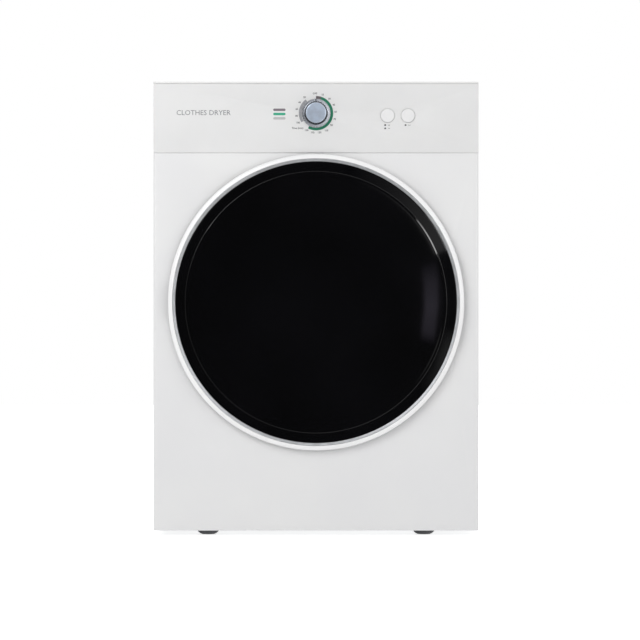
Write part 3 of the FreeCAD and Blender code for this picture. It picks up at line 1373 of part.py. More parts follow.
def make_door_screws():
    screws = []
    for number, (x, z) in enumerate(door_screw_places()):
        tip = out("frame_back + door_screw_length")
        head = out("frame_back - screw_head_height")
        outline = [("0", tip), ("screw_radius", tip), ("screw_radius", out("frame_back")),
                   ("screw_head", out("frame_back")), ("screw_head", head), ("0", head)]
        screws.append(turned(f"door_screw_{number}", outline, x=x, z=z))
    keep("door_screws", group("door_screws", screws))


# ---------------------------------------------------------------- feet, gland and wiring
def make_feet():
    """Levelling feet: a rubber-shod cup on a threaded stud."""
    top = "foot_clear - sliding_gap"
    for label, (x, y) in FOOT_PLACES.items():
        keep(label, turned(label, [
            ("0", "0"), ("foot_bottom", "0"),
            ("foot_top", f"{top} - foot_rim", "foot_bottom + (foot_top - foot_bottom) * 0.62",
             f"({top} - foot_rim) * 0.4"),
            ("foot_top", top), ("stud_radius", top),
            ("stud_radius", f"{top} + stud_length"), ("0", f"{top} + stud_length"),
        ], x=x, y=y, z="0", axis="Z"))


def make_cable_gland():
    keep("cable_gland", turned("cable_gland", [
        ("gland_bore", "rear_y - sheet - gland_proud"),
        ("gland_radius", "rear_y - sheet - gland_proud"),
        ("gland_radius", "rear_y"),
        ("gland_flange", "rear_y"),
        ("gland_flange", "rear_y + gland_proud / 3"),
        ("gland_radius", "rear_y + gland_proud"),
        ("gland_bore", "rear_y + gland_proud"),
    ], x="gland_x", z="gland_z"))


def make_terminal_block():
    top = "gland_z - block_gap"
    keep("terminal_block", box("terminal_block", about("gland_x", "block_half"),
                               ("rear_y - sheet - block_depth", "rear_y - sheet"),
                               (f"{top} - block_height", top)))


def lead(points, radius, bend):
    """A round lead along straight runs joined by tangent arcs."""
    edges = []
    start = points[0]
    for index in range(1, len(points) - 1):
        corner = points[index]
        before = (points[index - 1] - corner).normalize()
        after = (points[index + 1] - corner).normalize()
        half = before.getAngle(after) / 2
        setback = bend / math.tan(half)
        entry = corner + before * setback
        leave = corner + after * setback
        centre = corner + (before + after).normalize() * (bend / math.sin(half))
        middle = centre + (corner - centre).normalize() * bend
        edges.append(Part.LineSegment(start, entry).toShape())
        edges.append(Part.Arc(entry, middle, leave).toShape())
        start = leave
    edges.append(Part.LineSegment(start, points[-1]).toShape())
    path = Part.Wire(edges)
    first = points[1] - points[0]
    section = Part.Wire(Part.Circle(points[0], first, radius).toShape())
    solid = path.makePipeShell([section], True, False)
    expected = path.Length * math.pi * radius ** 2
    if abs(solid.Volume - expected) > 0.02 * expected:
        raise RuntimeError("a lead has the wrong volume")
    return solid


def make_wiring_harness():
    """Looms from the switches to the motor, and from the terminal block to the timer."""
    side_x = value("side_x - wire_side")
    down_y = value("front_y + wire_back")
    switch_back = value("switch_y + switch_depth")
    high = value("button_z")
    motor_loom = [
        FreeCAD.Vector(value("start_x"), switch_back, high),
        FreeCAD.Vector(value("start_x"), down_y, high),
        FreeCAD.Vector(side_x, down_y, high),
        FreeCAD.Vector(side_x, down_y, value("motor_z")),
        FreeCAD.Vector(value("motor_x + motor_radius + sliding_gap"), down_y, value("motor_z")),
    ]
    block_front = value("rear_y - sheet - block_depth")
    block_z = value("gland_z - block_gap - block_height / 2")
    unit_back = value("behind_fascia_y + 1 + unit_depth")
    supply_loom = [
        FreeCAD.Vector(value("gland_x"), block_front, block_z),
        FreeCAD.Vector(value("gland_x"), block_front - 90, block_z),
        FreeCAD.Vector(value("gland_x"), block_front - 90, value("knob_z")),
        FreeCAD.Vector(value("unit_half / 2"), block_front - 90, value("knob_z")),
        FreeCAD.Vector(value("unit_half / 2"), unit_back, value("knob_z")),
    ]
    looms = Part.Compound([lead(points, value("wire_radius"), value("wire_bend"))
                           for points in (motor_loom, supply_loom)])
    harness = doc.addObject("Part::Feature", "wiring_harness")
    harness.Shape = looms
    harness.Placement = FreeCAD.Placement()
    keep("wiring_harness", harness)


# ---------------------------------------------------------------- the whole machine
for make in (
    make_base_tray, make_side_panels, make_rear_panel, make_cabinet_screws, make_front_panel,
    make_top_panel, make_control_panel, make_timer_knob, make_timer_unit, make_buttons,
    make_switch_block, make_front_bulkhead, make_front_felt_seal, make_drum_glides, make_drum,
    make_rear_bulkhead, make_bearing, make_heater, make_motor, make_idler, make_belt, make_fan,
    make_lint_duct, make_lint_filter, make_exhaust, make_door_ring, make_door_trim_ring,
    make_door_window, make_door_inner_frame, make_door_bowl, make_door_seal, make_door_striker,
    make_door_catch, make_hinge, make_door_screws, make_feet, make_cable_gland,
    make_terminal_block, make_wiring_harness,
):
    make()

doc.recompute()
for thing in doc.Objects:
    if "Invalid" in thing.State or "Error" in thing.State:
        raise RuntimeError(f"{thing.Label} is {thing.State}")
for label, piece in PARTS.items():
    if piece.Shape.isNull() or not piece.Shape.isValid() or not piece.Shape.Solids:
        raise RuntimeError(f"{label} has no valid solid")

os.makedirs("parts", exist_ok=True)
for label, piece in PARTS.items():
    piece.Shape.exportStep(f"parts/{label}.step")
print(len(PARTS), "sub-parts written")
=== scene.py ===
import json
import math

import bmesh
import bpy
from mathutils import Matrix, Vector


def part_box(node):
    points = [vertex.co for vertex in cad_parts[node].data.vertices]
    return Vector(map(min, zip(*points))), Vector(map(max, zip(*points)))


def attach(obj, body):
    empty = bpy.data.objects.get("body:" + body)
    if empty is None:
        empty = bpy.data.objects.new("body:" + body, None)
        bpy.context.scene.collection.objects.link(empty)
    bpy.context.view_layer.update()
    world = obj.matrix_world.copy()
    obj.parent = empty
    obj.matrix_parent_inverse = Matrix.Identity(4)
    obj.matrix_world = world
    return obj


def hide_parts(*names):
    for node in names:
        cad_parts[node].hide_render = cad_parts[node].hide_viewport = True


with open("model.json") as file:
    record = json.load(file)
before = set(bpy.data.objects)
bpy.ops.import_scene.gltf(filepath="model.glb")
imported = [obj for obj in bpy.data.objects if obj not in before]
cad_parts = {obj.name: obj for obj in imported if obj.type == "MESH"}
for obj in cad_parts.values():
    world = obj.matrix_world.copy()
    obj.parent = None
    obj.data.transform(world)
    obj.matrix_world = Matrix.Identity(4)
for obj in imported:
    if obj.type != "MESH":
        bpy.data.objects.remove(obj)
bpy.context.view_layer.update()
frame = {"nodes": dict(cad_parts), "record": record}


# ------------------------------------ front panel
# One sheet of steel with its sides folded back, rounded along both upright edges and pierced by
# the round door opening.  White enamel baked on, with the faint orange peel that leaves.
def tint(code):
    """A six figure colour code as the linear colour that a shader takes."""
    parts = [int(code[place:place + 2], 16) / 255 for place in (0, 2, 4)]
    return tuple(p / 12.92 if p <= 0.04045 else ((p + 0.055) / 1.055) ** 2.4 for p in parts) + (1,)


def put(tree, kind, inputs=None, **settings):
    """Adds one node to a tree; each input is given a value or another node's output."""
    node = tree.nodes.new(kind)
    for key, setting in settings.items():
        setattr(node, key, setting)
    for key, given in (inputs or {}).items():
        if isinstance(given, bpy.types.NodeSocket):
            tree.links.new(given, node.inputs[key])
        else:
            node.inputs[key].default_value = given
    return node


def finish(name, shades, patch, gloss, grain=None, stretch=(1, 1, 1), shader=None):
    """A finish in two near shades: patch is the patches' size in millimetres, gloss the range of
    the roughness, and grain the size and height of the relief in millimetres."""
    material = bpy.data.materials.new(name)
    material.use_nodes = True
    tree = material.node_tree
    tree.nodes.clear()
    place = put(tree, "ShaderNodeTexCoord").outputs["Object"]
    place = put(tree, "ShaderNodeMapping", {"Vector": place, "Scale": stretch}).outputs["Vector"]
    drift = put(tree, "ShaderNodeTexNoise",
                {"Vector": place, "Scale": 1000 / patch, "Detail": 3}).outputs["Fac"]
    share = put(tree, "ShaderNodeMapRange", {"Value": drift, "From Min": 0.35, "From Max": 0.65})
    colour = put(tree, "ShaderNodeMix", {0: share.outputs[0], 6: tint(shades[0]), 7: tint(shades[1])},
                 data_type="RGBA").outputs[2]
    rough = put(tree, "ShaderNodeMapRange", {"Value": drift, "From Min": 0.3, "From Max": 0.7,
                                             "To Min": gloss[0], "To Max": gloss[1]}).outputs[0]
    surface = put(tree, "ShaderNodeBsdfPrincipled",
                  {"Base Color": colour, "Roughness": rough, **(shader or {})})
    if grain:
        fine = put(tree, "ShaderNodeTexNoise",
                   {"Vector": place, "Scale": 1000 / grain[0], "Detail": 2}).outputs["Fac"]
        relief = put(tree, "ShaderNodeBump", {"Height": fine, "Distance": grain[1] / 1000})
        tree.links.new(relief.outputs[0], surface.inputs["Normal"])
    put(tree, "ShaderNodeOutputMaterial", {"Surface": surface.outputs[0]})
    return material


BODY_OF = {node: body for body, nodes in frame["record"]["behaviour"]["bodies"].items()
           for node in nodes}


def span(*nodes):
    """Lowest and highest corner of some plain solids together, in millimetres."""
    corners = [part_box(node) for node in nodes]
    low = Vector([min(corner[0][k] for corner in corners) for k in range(3)]) * 1000
    high = Vector([max(corner[1][k] for corner in corners) for k in range(3)]) * 1000
    return low, high


def middle(node):
    """Centre of a plain solid's box, in millimetres."""
    low, high = span(node)
    return (low + high) / 2


def as_object(name, mesh, materials):
    """Puts a mesh drawn in millimetres into the scene in metres, smooth except at its corners."""
    mesh.transform(Matrix.Scale(0.001, 4))
    bm = bmesh.new()
    bm.from_mesh(mesh)
    bmesh.ops.remove_doubles(bm, verts=bm.verts, dist=1e-6)
    bmesh.ops.recalc_face_normals(bm, faces=bm.faces)
    for face in bm.faces:
        face.smooth = True
    for edge in bm.edges:
        edge.smooth = len(edge.link_faces) == 2 and edge.calc_face_angle() < math.radians(32)
    bm.to_mesh(mesh)
    bm.free()
    thing = bpy.data.objects.new(name.replace(" ", "_") + "_piece", mesh)
    bpy.context.collection.objects.link(thing)
    mesh.materials.clear()
    for material in materials:
        mesh.materials.append(material)
    return thing


def settle(name, bm, materials, *nodes, body=None):
    """Makes the finished piece, which rides on its body and stands for the plain solids named."""
    mesh = bpy.data.meshes.new(name)
    bm.to_mesh(mesh)
    bm.free()
    return adopt(as_object(name, mesh, materials), *nodes, body=body)


def adopt(thing, *nodes, body=None):
    """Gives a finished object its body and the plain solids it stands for."""
    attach(thing, body or BODY_OF[nodes[0]])
    if nodes:
        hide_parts(*nodes)
    return thing


def copied(*nodes):
    """Plain solids as one mesh in millimetres, with flat areas made whole."""
    bm = bmesh.new()
    for node in nodes:
        bm.from_mesh(frame["nodes"][node].data)
    bmesh.ops.scale(bm, vec=(1000, 1000, 1000), verts=bm.verts)
    bmesh.ops.remove_doubles(bm, verts=bm.verts, dist=1e-3)
    bmesh.ops.dissolve_limit(bm, angle_limit=math.radians(0.3), verts=bm.verts, edges=bm.edges)
    return bm


def eased(bm, width, steps=2, corner=40):
    """Rounds every sharp edge of a mesh, as pressing, moulding or deburring leaves it."""
    edges = [edge for edge in bm.edges
             if len(edge.link_faces) == 2 and edge.calc_face_angle() > math.radians(corner)]
    bmesh.ops.bevel(bm, geom=edges, offset=width, segments=steps, profile=0.5, affect="EDGES",
                    clamp_overlap=False)
    return bm


def closed_up(node, ease, reach=2, lift=0.35):
    """The eased panel with its top edge raised, so that the line above it reads as a fine seam."""
    bm = eased(copied(node), ease)
    top_z = span(node)[1].z
    for vert in bm.verts:
        if vert.co.z > top_z - reach:
            vert.co.z += lift
    return bm


# The clear skin over the white gives a soft sheen with a faint ripple.
enamel = finish("baked white enamel", ("e6e6e6", "e3e3e4"), 180, (0.3, 0.36), grain=(1.6, 0.012),
                shader={"IOR": 1.5, "Coat Weight": 0.25, "Coat Roughness": 0.12})
settle("front panel", closed_up("front_panel", 0.35), [enamel], "front_panel")


# ------------------------------------ side panels
# Two upright sheets with folded edges, screwed to the tray and the rear panel.  The same baked
# enamel as the front, eased where the shears left the edges.
def kept_shape(node, ease, material, steps=2, corner=40):
    """A piece with the shape of its plain solid, its sharp edges eased."""
    settle(node.replace("_", " "), eased(copied(node), ease, steps, corner), [material], node)


for side in ("left_side_panel", "right_side_panel"):
    kept_shape(side, 0.3, enamel)


# ------------------------------------ top panel
# A white laminate sheet on a fibre board core, its thin visible edge rounded over all round.
# Laminate shows a very fine pebble that breaks up the light.
def block(bm, low, high, radius, steps=3):
    """Adds a box with rounded edges."""
    made = bmesh.ops.create_cube(bm, size=1)["verts"]
    low = Vector(low)
    high = Vector(high)
    shape = Matrix.Translation((low + high) / 2) @ Matrix.Diagonal((*(high - low), 1))
    bmesh.ops.transform(bm, matrix=shape, verts=made)
    edges = list({edge for vert in made for edge in vert.link_edges})
    if radius:
        bmesh.ops.bevel(bm, geom=edges, offset=radius, segments=steps, profile=0.5, affect="EDGES",
                        clamp_overlap=True)
    return bm


laminate = finish("pebbled white laminate", ("e7e7e5", "e3e4e3"), 60, (0.42, 0.5), grain=(0.9, 0.03),
                  shader={"IOR": 1.5})
low, high = span("top_panel")
lid_edge = 3
board_inset = 30
board_side = 2
board_back = 0.5
bm = block(bmesh.new(), (low.x, low.y, high.z - lid_edge), high, 0.9)
block(bm, (low.x + board_side, low.y + board_inset, low.z),
      (high.x - board_side, high.y - board_back, high.z - lid_edge), 0.8)
settle("top panel", bm, [laminate], "top_panel")


# ------------------------------------ control panel
# A long moulding in white plastic, open at the back, with its front edges rounded.  The moulding
# has a silkier face than the enamel below it.
white_plastic = finish("satin white moulding", ("e0e0e0", "dddddd"), 90, (0.36, 0.42),
                       grain=(0.6, 0.006),
                       shader={"IOR": 1.49, "Subsurface Weight": 0.03,
                               "Subsurface Radius": (0.004, 0.003, 0.002)})
settle("control panel", closed_up("control_panel", 0.4), [white_plastic], "control_panel")


# ------------------------------------ printing on the control panel
# Pad printed marks: the coloured arcs and figures of the time scale, the three bars of its legend
# and the signs under the buttons.  The ink is a thin matt film, a little proud of the panel.
face_y = span("control_panel")[0].y
dial = middle("timer_knob")
ink_height = 0.06
ink_back = 0.005


def clock(radius, angle):
    """Where an angle, clockwise from the top, meets a circle round the knob."""
    turn = math.radians(angle)
    return dial.x + radius * math.sin(turn), dial.z + radius * math.cos(turn)


def printed(bm, outline):
    """Adds a closed outline of (x, z) points as a thin raised print."""
    front = [bm.verts.new((x, face_y - ink_height, z)) for x, z in outline]
    back = [bm.verts.new((x, face_y - ink_back, z)) for x, z in outline]
    bm.faces.new(front)
    bm.faces.new(back[::-1])
    for k in range(len(outline)):
        after = (k + 1) % len(outline)
        bm.faces.new((front[k], back[k], back[after], front[after]))


def arc_band(bm, inner, outer, start, end):
    """Adds a printed band round the knob between two angles in degrees."""
    steps = max(2, round((end - start) / 2))
    angles = [start + (end - start) * k / steps for k in range(steps + 1)]
    for first, second in zip(angles, angles[1:]):
        printed(bm, [clock(inner, first), clock(outer, first),
                     clock(outer, second), clock(inner, second)])


def bar(bm, x, z, width, height):
    """Adds a printed bar with rounded ends."""
    points = []
    for side in (1, -1):
        for k in range(9):
            turn = math.radians(90 - 180 * k / 8) if side > 0 else math.radians(270 - 180 * k / 8)
            points.append((x + side * (width - height) / 2 + math.cos(turn) * height / 2,
                           z + math.sin(turn) * height / 2))
    printed(bm, points)


def ink(name, first, second):
    """Pad printing ink, matt beside the satin panel."""
    return finish(name, (first, second), 3, (0.45, 0.6), grain=(0.25, 0.01), shader={"IOR": 1.5})


umber_ink = ink("dark umber ink", "5a5256", "655c61")
green_ink = ink("green ink", "0c7052", "15795b")
grey_ink = ink("mid grey ink", "909196", "9a9b9f")
text_ink = ink("charcoal ink", "35363b", "404147")
legend_inks = (ink("light umber ink", "776e76", "81787f"), ink("light green ink", "2f9f7e", "3aa787"),
               ink("light grey ink", "b0b0b1", "b9b9ba"))

arc_inner = 26.6
arc_outer = 31.5
legend_x = -67
legend_width = 22.7
legend_height = 4.6
for name, material, start, end in (("short time arc", umber_ink, 0, 18),
                                   ("normal time arc", green_ink, 18, 208),
                                   ("cool time arc", grey_ink, 238, 323)):
    bm = bmesh.new()
    arc_band(bm, arc_inner, arc_outer, start, end)
    settle(name, bm, [material], body="cabinet")
for name, material, drop in zip(("upper legend bar", "middle legend bar", "lower legend bar"),
                                legend_inks, (-6.2, 1.5, 9.4)):
    bm = bmesh.new()
    bar(bm, legend_x, dial.z - drop, legend_width, legend_height)
    settle(name, bm, [material], body="cabinet")


def as_mesh(thing):
    """The mesh of an object as its curves or modifiers make it."""
    graph = bpy.context.evaluated_depsgraph_get()
    return bpy.data.meshes.new_from_object(thing.evaluated_get(graph))


def words(text, height, x, z, extra=0):
    """Printed lettering as a thin mesh, centred at a place on the panel."""
    curve = bpy.data.curves.new("lettering", "FONT")
    curve.body = text
    curve.align_x = "CENTER"
    curve.align_y = "CENTER"
    curve.size = height * 1.4
    curve.extrude = (ink_height - ink_back) / 2
    curve.offset = extra
    curve.resolution_u = 2
    carrier = bpy.data.objects.new("lettering", curve)
    bpy.context.collection.objects.link(carrier)
    bpy.context.view_layer.update()
    mesh = as_mesh(carrier)
    bpy.data.objects.remove(carrier)
    upright = Matrix.Rotation(math.radians(90), 4, "X")
    mesh.transform(Matrix.Translation((x, face_y - (ink_height + ink_back) / 2, z)) @ upright)
    return mesh


scale_marks = [(-3, "OFF"), (20, "15"), (43, "30"), (65, "45"), (86, "60"), (108, "75"), (128, "90"),
               (149, "105"), (170, "120"), (190, "135"), (209, "150"), (242, "100"), (262, "80"),
               (282, "60"), (303, "40"), (324, "20")]
figure_height = 3.3
figure_weight = 0.09
figure_ring = 35.9
long_figure_step = 1.2
bm = bmesh.new()
for angle, text in scale_marks:
    beside = len(text) > 2 and abs(math.sin(math.radians(angle))) > 0.5
    x, z = clock(figure_ring + (long_figure_step if beside else 0), angle)
    bm.from_mesh(words(text, figure_height, x, z, figure_weight))
bm.from_mesh(words("Time (min)", 3.4, *clock(43.5, 231), figure_weight))
settle("scale figures", bm, [text_ink], body="cabinet")

wording_x = -206
wording_rise = 0.5
wording_height = 9.3
bm = bmesh.new()
bm.from_mesh(words("CLOTHES DRYER", wording_height, wording_x, dial.z + wording_rise))
settle("panel wording", bm, [ink("soft grey ink", "77797c", "828487")], body="cabinet")

sign_drop = 17.2
sign_step = 6
sign_outline = ((-5.6, -1.4), (-3.2, -1.4), (-2.4, 0.3), (-4.4, 1.7), (-6.4, 0.3))
sign_text_x = 2.6
sign_height = 1.9
buttons_z = middle("start_button").z
bm = bmesh.new()
for node, signs in (("temperature_button", ("high", "low")), ("start_button", ("start",))):
    x = middle(node).x
    for row, text in enumerate(signs):
        z = buttons_z - sign_drop - sign_step * row
        printed(bm, [(x + across, z + up) for across, up in sign_outline])
        bm.from_mesh(words(text, sign_height, x + sign_text_x, z, 0.02))
settle("button signs", bm, [text_ink], body="cabinet")


# ------------------------------------ timer knob
# A moulding sprayed silver: a flared skirt, a groove and a grip with fine ribs, faced by a disc of
# spun aluminium.  The skirt carries a dark pointer.
def rounded(outline, steps=4):
    """Follows (radius, along) points; a third figure rounds that corner over so many millimetres."""
    points = []
    for place, (across, along, *corner) in enumerate(outline):
        here = Vector((across, along))
        if not corner:
            points.append(here)
            continue
        before = Vector(outline[place - 1][:2]) - here
        after = Vector(outline[(place + 1) % len(outline)][:2]) - here
        start = here + before.normalized() * min(corner[0], before.length * 0.49)
        end = here + after.normalized() * min(corner[0], after.length * 0.49)
        for k in range(steps + 1):
            part = k / steps
            points.append(start * (1 - part) ** 2 + here * 2 * part * (1 - part) + end * part ** 2)
    return points


def spin(bm, outline, centre, axis="Y", count=128, steps=4):
    """Adds a closed outline of (radius, along) points turned round its axis."""
    profile = rounded(outline, steps)
    rings = []
    for k in range(count):
        turn = 2 * math.pi * k / count
        ring = []
        for across, along in profile:
            a = across * math.cos(turn)
            b = across * math.sin(turn)
            if axis == "Y":
                place = (centre.x + a, along, centre.z + b)
            else:
                place = (centre.x + a, centre.y + b, along)
            ring.append(bm.verts.new(place))
        rings.append(ring)
    for k in range(count):
        this = rings[k]
        other = rings[(k + 1) % count]
        for j in range(len(profile)):
            after = (j + 1) % len(profile)
            bm.faces.new((this[j], this[after], other[after], other[j]))
    bmesh.ops.remove_doubles(bm, verts=bm.verts, dist=1e-3)
    return bm


def repeated(name, part, places, material, *nodes, body=None):
    """A node tree sets a copy of one small part at every point of a carrier mesh, turned as the
    point says; the result is kept as a plain mesh."""
    tree = bpy.data.node_groups.new(name + " array", "GeometryNodeTree")
    tree.interface.new_socket("Places", in_out="INPUT", socket_type="NodeSocketGeometry")
    sockets = {
        "Part": tree.interface.new_socket("Part", in_out="INPUT", socket_type="NodeSocketObject"),
        "Finish": tree.interface.new_socket("Finish", in_out="INPUT", socket_type="NodeSocketMaterial"),
        "Size": tree.interface.new_socket("Size", in_out="INPUT", socket_type="NodeSocketFloat"),
    }
    tree.interface.new_socket("Array", in_out="OUTPUT", socket_type="NodeSocketGeometry")
    given = put(tree, "NodeGroupInput").outputs
    one = put(tree, "GeometryNodeObjectInfo", {"Object": given["Part"]}).outputs["Geometry"]
    angles = put(tree, "GeometryNodeInputNamedAttribute", {"Name": "turn"}, data_type="FLOAT_VECTOR")
    rotation = put(tree, "FunctionNodeEulerToRotation", {0: angles.outputs[0]}).outputs[0]
    copies = put(tree, "GeometryNodeInstanceOnPoints", {"Points": given["Places"], "Instance": one,
                                                        "Rotation": rotation, "Scale": given["Size"]})
    whole = put(tree, "GeometryNodeRealizeInstances", {0: copies.outputs[0]}).outputs[0]
    coated = put(tree, "GeometryNodeSetMaterial", {"Geometry": whole, "Material": given["Finish"]})
    put(tree, "NodeGroupOutput", {0: coated.outputs[0]})

    mesh = bpy.data.meshes.new(name + " part")
    part.to_mesh(mesh)
    part.free()
    sample = bpy.data.objects.new(name + " part", mesh)
    points = bpy.data.meshes.new(name + " places")
    points.from_pydata([tuple(place) for place, turn in places], [], [])
    turns = points.attributes.new("turn", "FLOAT_VECTOR", "POINT")
    for k, (place, turn) in enumerate(places):
        turns.data[k].vector = turn
    carrier = bpy.data.objects.new(name + " places", points)
    for thing in (sample, carrier):
        bpy.context.collection.objects.link(thing)
    modifier = carrier.modifiers.new("array", "NODES")
    modifier.node_group = tree
    modifier[sockets["Part"].identifier] = sample
    modifier[sockets["Finish"].identifier] = material
    modifier[sockets["Size"].identifier] = 1.0
    bpy.context.view_layer.update()
    result = as_mesh(carrier)
    carrier.modifiers.clear()
    for thing in (sample, carrier):
        bpy.data.objects.remove(thing)
    return adopt(as_object(name, result, [material]), *nodes, body=body)


# Fine flake in the paint gives a bright metal look with a slight sparkle.
silver_paint = finish("silver sprayed moulding", ("b4b8c0", "c2c6cd"), 4, (0.22, 0.3),
                      grain=(0.18, 0.004), shader={"Metallic": 1.0})
# This dark grey is the pointer's own colour, and it is also used as painted shade laid in the knob's groove.
pointer_and_groove_shade_grey = finish("pointer grey and painted groove shade", ("3a3d44", "464a52"), 3, (0.5, 0.6), shader={"IOR": 1.5})
knob_low, knob_high = span("timer_knob")
cap_front = span("knob_cap")[0].y
skirt_radius = (knob_high.x - knob_low.x) / 2
skirt_back = face_y - 0.5
skirt_front = skirt_back - 6
grip_radius = 18.8
groove_radius = 20.8
groove_back = skirt_back - 3.2
spindle_radius = 3
bm = spin(bmesh.new(), [
    (0, knob_low.y), (0, knob_high.y), (spindle_radius, knob_high.y, 0.4), (spindle_radius, skirt_back),
    (skirt_radius, skirt_back, 0.4), (skirt_radius, skirt_back - 2.6, 0.6),
    (groove_radius + 1.2, skirt_front, 1.2), (groove_radius, skirt_front, 0.3),
    (groove_radius, groove_back, 0.3), (grip_radius, groove_back, 0.3),
    (grip_radius, knob_low.y, 0.8)], dial, count=160)
settle("timer knob", bm, [silver_paint], "timer_knob")

# A thin dark ring laid on the floor of the groove is painted shade: it stands for the shadow down in the
# groove.
groove_shade_inner = grip_radius - 0.05
groove_shade_outer = groove_radius + 0.02
groove_shade_front = skirt_back - 3.3
bm = spin(bmesh.new(), [(groove_shade_inner, groove_shade_front), (groove_shade_outer, groove_shade_front),
                        (groove_shade_outer, groove_back), (groove_shade_inner, groove_back)], dial, count=96)
settle("knob groove floor", bm, [pointer_and_groove_shade_grey], body="timer_knob")

rib_count = 72
rib_y = knob_low.y + 6.6
rib = block(bmesh.new(), (-0.35, -5.4, -0.25), (0.35, 5.4, 0.25), 0.2, 2)
ribs = []
for k in range(rib_count):
    turn = 2 * math.pi * k / rib_count
    spot = (dial.x + grip_radius * math.cos(turn), rib_y, dial.z + grip_radius * math.sin(turn))
    ribs.append((Vector(spot), (0, -turn, 0)))
repeated("knob grip ribs", rib, ribs, silver_paint, body="timer_knob")

pointer_half = 0.9
pointer = block(bmesh.new(), (dial.x - pointer_half, skirt_back - 5.9, dial.z + groove_radius + 0.6),
                (dial.x + pointer_half, skirt_back - 2.2, dial.z + skirt_radius - 0.2), 0.2, 2)
settle("knob pointer", pointer, [pointer_and_groove_shade_grey], body="timer_knob")


# ------------------------------------ knob cap
# The disc on the grip is aluminium spun and brushed round its centre, slightly crowned, with a
# turned rim.  The round brushing gathers the light into a soft sweep.
def spun_metal(name, shades, centre, rough, pitch, depth, shine=1.0):
    """Metal turned on a lathe: rings round an axis that points to the front."""
    material = finish(name, shades, 12, rough, shader={"Metallic": shine})
    tree = material.node_tree
    surface = next(node for node in tree.nodes if node.type == "BSDF_PRINCIPLED")
    place = put(tree, "ShaderNodeTexCoord").outputs["Object"]
    to_axis = (-centre.x / 1000, 0, -centre.z / 1000)
    offset = put(tree, "ShaderNodeMapping", {"Vector": place, "Location": to_axis,
                                             "Scale": (1, 0, 1)}).outputs[0]
    radius = put(tree, "ShaderNodeVectorMath", {0: offset}, operation="LENGTH").outputs["Value"]
    rings = put(tree, "ShaderNodeTexNoise", {"W": radius, "Scale": 1000 / pitch, "Detail": 2},
                noise_dimensions="1D").outputs["Fac"]
    relief = put(tree, "ShaderNodeBump", {"Height": rings, "Distance": depth / 1000})
    tree.links.new(relief.outputs[0], surface.inputs["Normal"])
    return material


cap_metal = spun_metal("spun aluminium", ("c3d0e2", "b4bfd0"), dial, (0.3, 0.38), 0.35, 0.004,
                       shine=0.5)
cap_low, cap_high = span("knob_cap")
cap_radius = (cap_high.x - cap_low.x) / 2
bm = spin(bmesh.new(), [(0, knob_low.y), (cap_radius, knob_low.y), (cap_radius, cap_front + 0.75, 0.5),
                        (cap_radius * 0.93, cap_front + 0.28, 0.5),
                        (cap_radius * 0.6, cap_front + 0.1, 3), (0, cap_front)], dial, count=160)
settle("knob cap", bm, [cap_metal], "knob_cap")


# ------------------------------------ push buttons
# Two round white buttons, slightly dished, with a retaining collar behind the panel and a stem
# towards the switches.  The same moulding material as the panel.
button_plastic = finish("white button moulding", ("e6e6e6", "e2e2e3"), 14, (0.34, 0.4),
                        grain=(0.4, 0.004), shader={"IOR": 1.49})
button_radius = 12.5
collar_radius = button_radius + 2
collar_front = face_y + 3
stem_radius = 4
stem_length = 9
for node in ("temperature_button", "start_button"):
    low, high = span(node)
    collar_back = high.y - stem_length
    bm = spin(bmesh.new(), [
        (0, low.y + 0.5), (button_radius * 0.8, low.y + 0.15, 2), (button_radius, low.y, 0.9),
        (button_radius, collar_front), (collar_radius, collar_front, 0.3),
        (collar_radius, collar_back, 0.3), (stem_radius, collar_back), (stem_radius, high.y, 0.6),
        (0, high.y)], middle(node), count=96)
    settle(node.replace("_", " "), bm, [button_plastic], node)


# ------------------------------------ door ring
# The white outer ring of the door, moulded with a high rounded flank and a ledge that the window
# sits on.  It is notched at the hinge and hollowed as a finger grip on the other side.
def cut_with(bm, tools, name="cutting"):
    """The mesh less the tool meshes, in millimetres."""
    pieces = []
    for source in [bm] + tools:
        mesh = bpy.data.meshes.new(name)
        bmesh.ops.recalc_face_normals(source, faces=source.faces)
        source.to_mesh(mesh)
        source.free()
        thing = bpy.data.objects.new(name, mesh)
        bpy.context.collection.objects.link(thing)
        pieces.append(thing)
    for tool in pieces[1:]:
        modifier = pieces[0].modifiers.new("cut", "BOOLEAN")
        modifier.operation = "DIFFERENCE"
        modifier.solver = "EXACT"
        modifier.object = tool
    bpy.context.view_layer.update()
    mesh = as_mesh(pieces[0])
    for thing in pieces:
        bpy.data.objects.remove(thing)
    result = bmesh.new()
    result.from_mesh(mesh)
    return result


door = middle("door_window")
front_y = span("front_panel")[0].y
ring_low, ring_high = span("door_ring")
door_radius = ring_high.z - door.z
ring_bore = door_radius - 8.8
ledge_radius = door_radius - 31
ledge_front = span("door_window")[1].y
ledge_back = ledge_front + 3
flange_radius = door_radius - 2.5
# A polished mould leaves the plastic glossy, so the rounded edge carries a clear highlight.
white_ring = finish("gloss white door moulding", ("f2f2f2", "eeeeef"), 120, (0.16, 0.22),
                    grain=(2.2, 0.004),
                    shader={"IOR": 1.49, "Coat Weight": 0.4, "Coat Roughness": 0.06})
bm = spin(bmesh.new(), [
    (ledge_radius, ledge_back, 0.4), (ledge_radius, ledge_front, 0.4), (ring_bore, ledge_front),
    (ring_bore, ring_low.y + 1.1, 0.7), (ring_bore + 1.1, ring_low.y, 0.9),
    (door_radius - 3.2, ring_low.y + 1.6, 2.5), (door_radius - 0.5, ring_low.y + 3.3, 1.5),
    (door_radius, ring_low.y + 7, 2),
    (door_radius, ring_high.y, 0.5), (flange_radius, ring_high.y, 0.5), (flange_radius, ledge_back)],
    door, count=256, steps=6)
past_edge = 4
grip_width = 22
grip_depth = 11.5
grip_half = 82
grip = block(bmesh.new(), (door_radius - grip_width, front_y - grip_depth, door.z - grip_half),
             (door_radius + past_edge, front_y + past_edge, door.z + grip_half), 3.4, 4)
notch_depth = 14.5
notch_half = 30
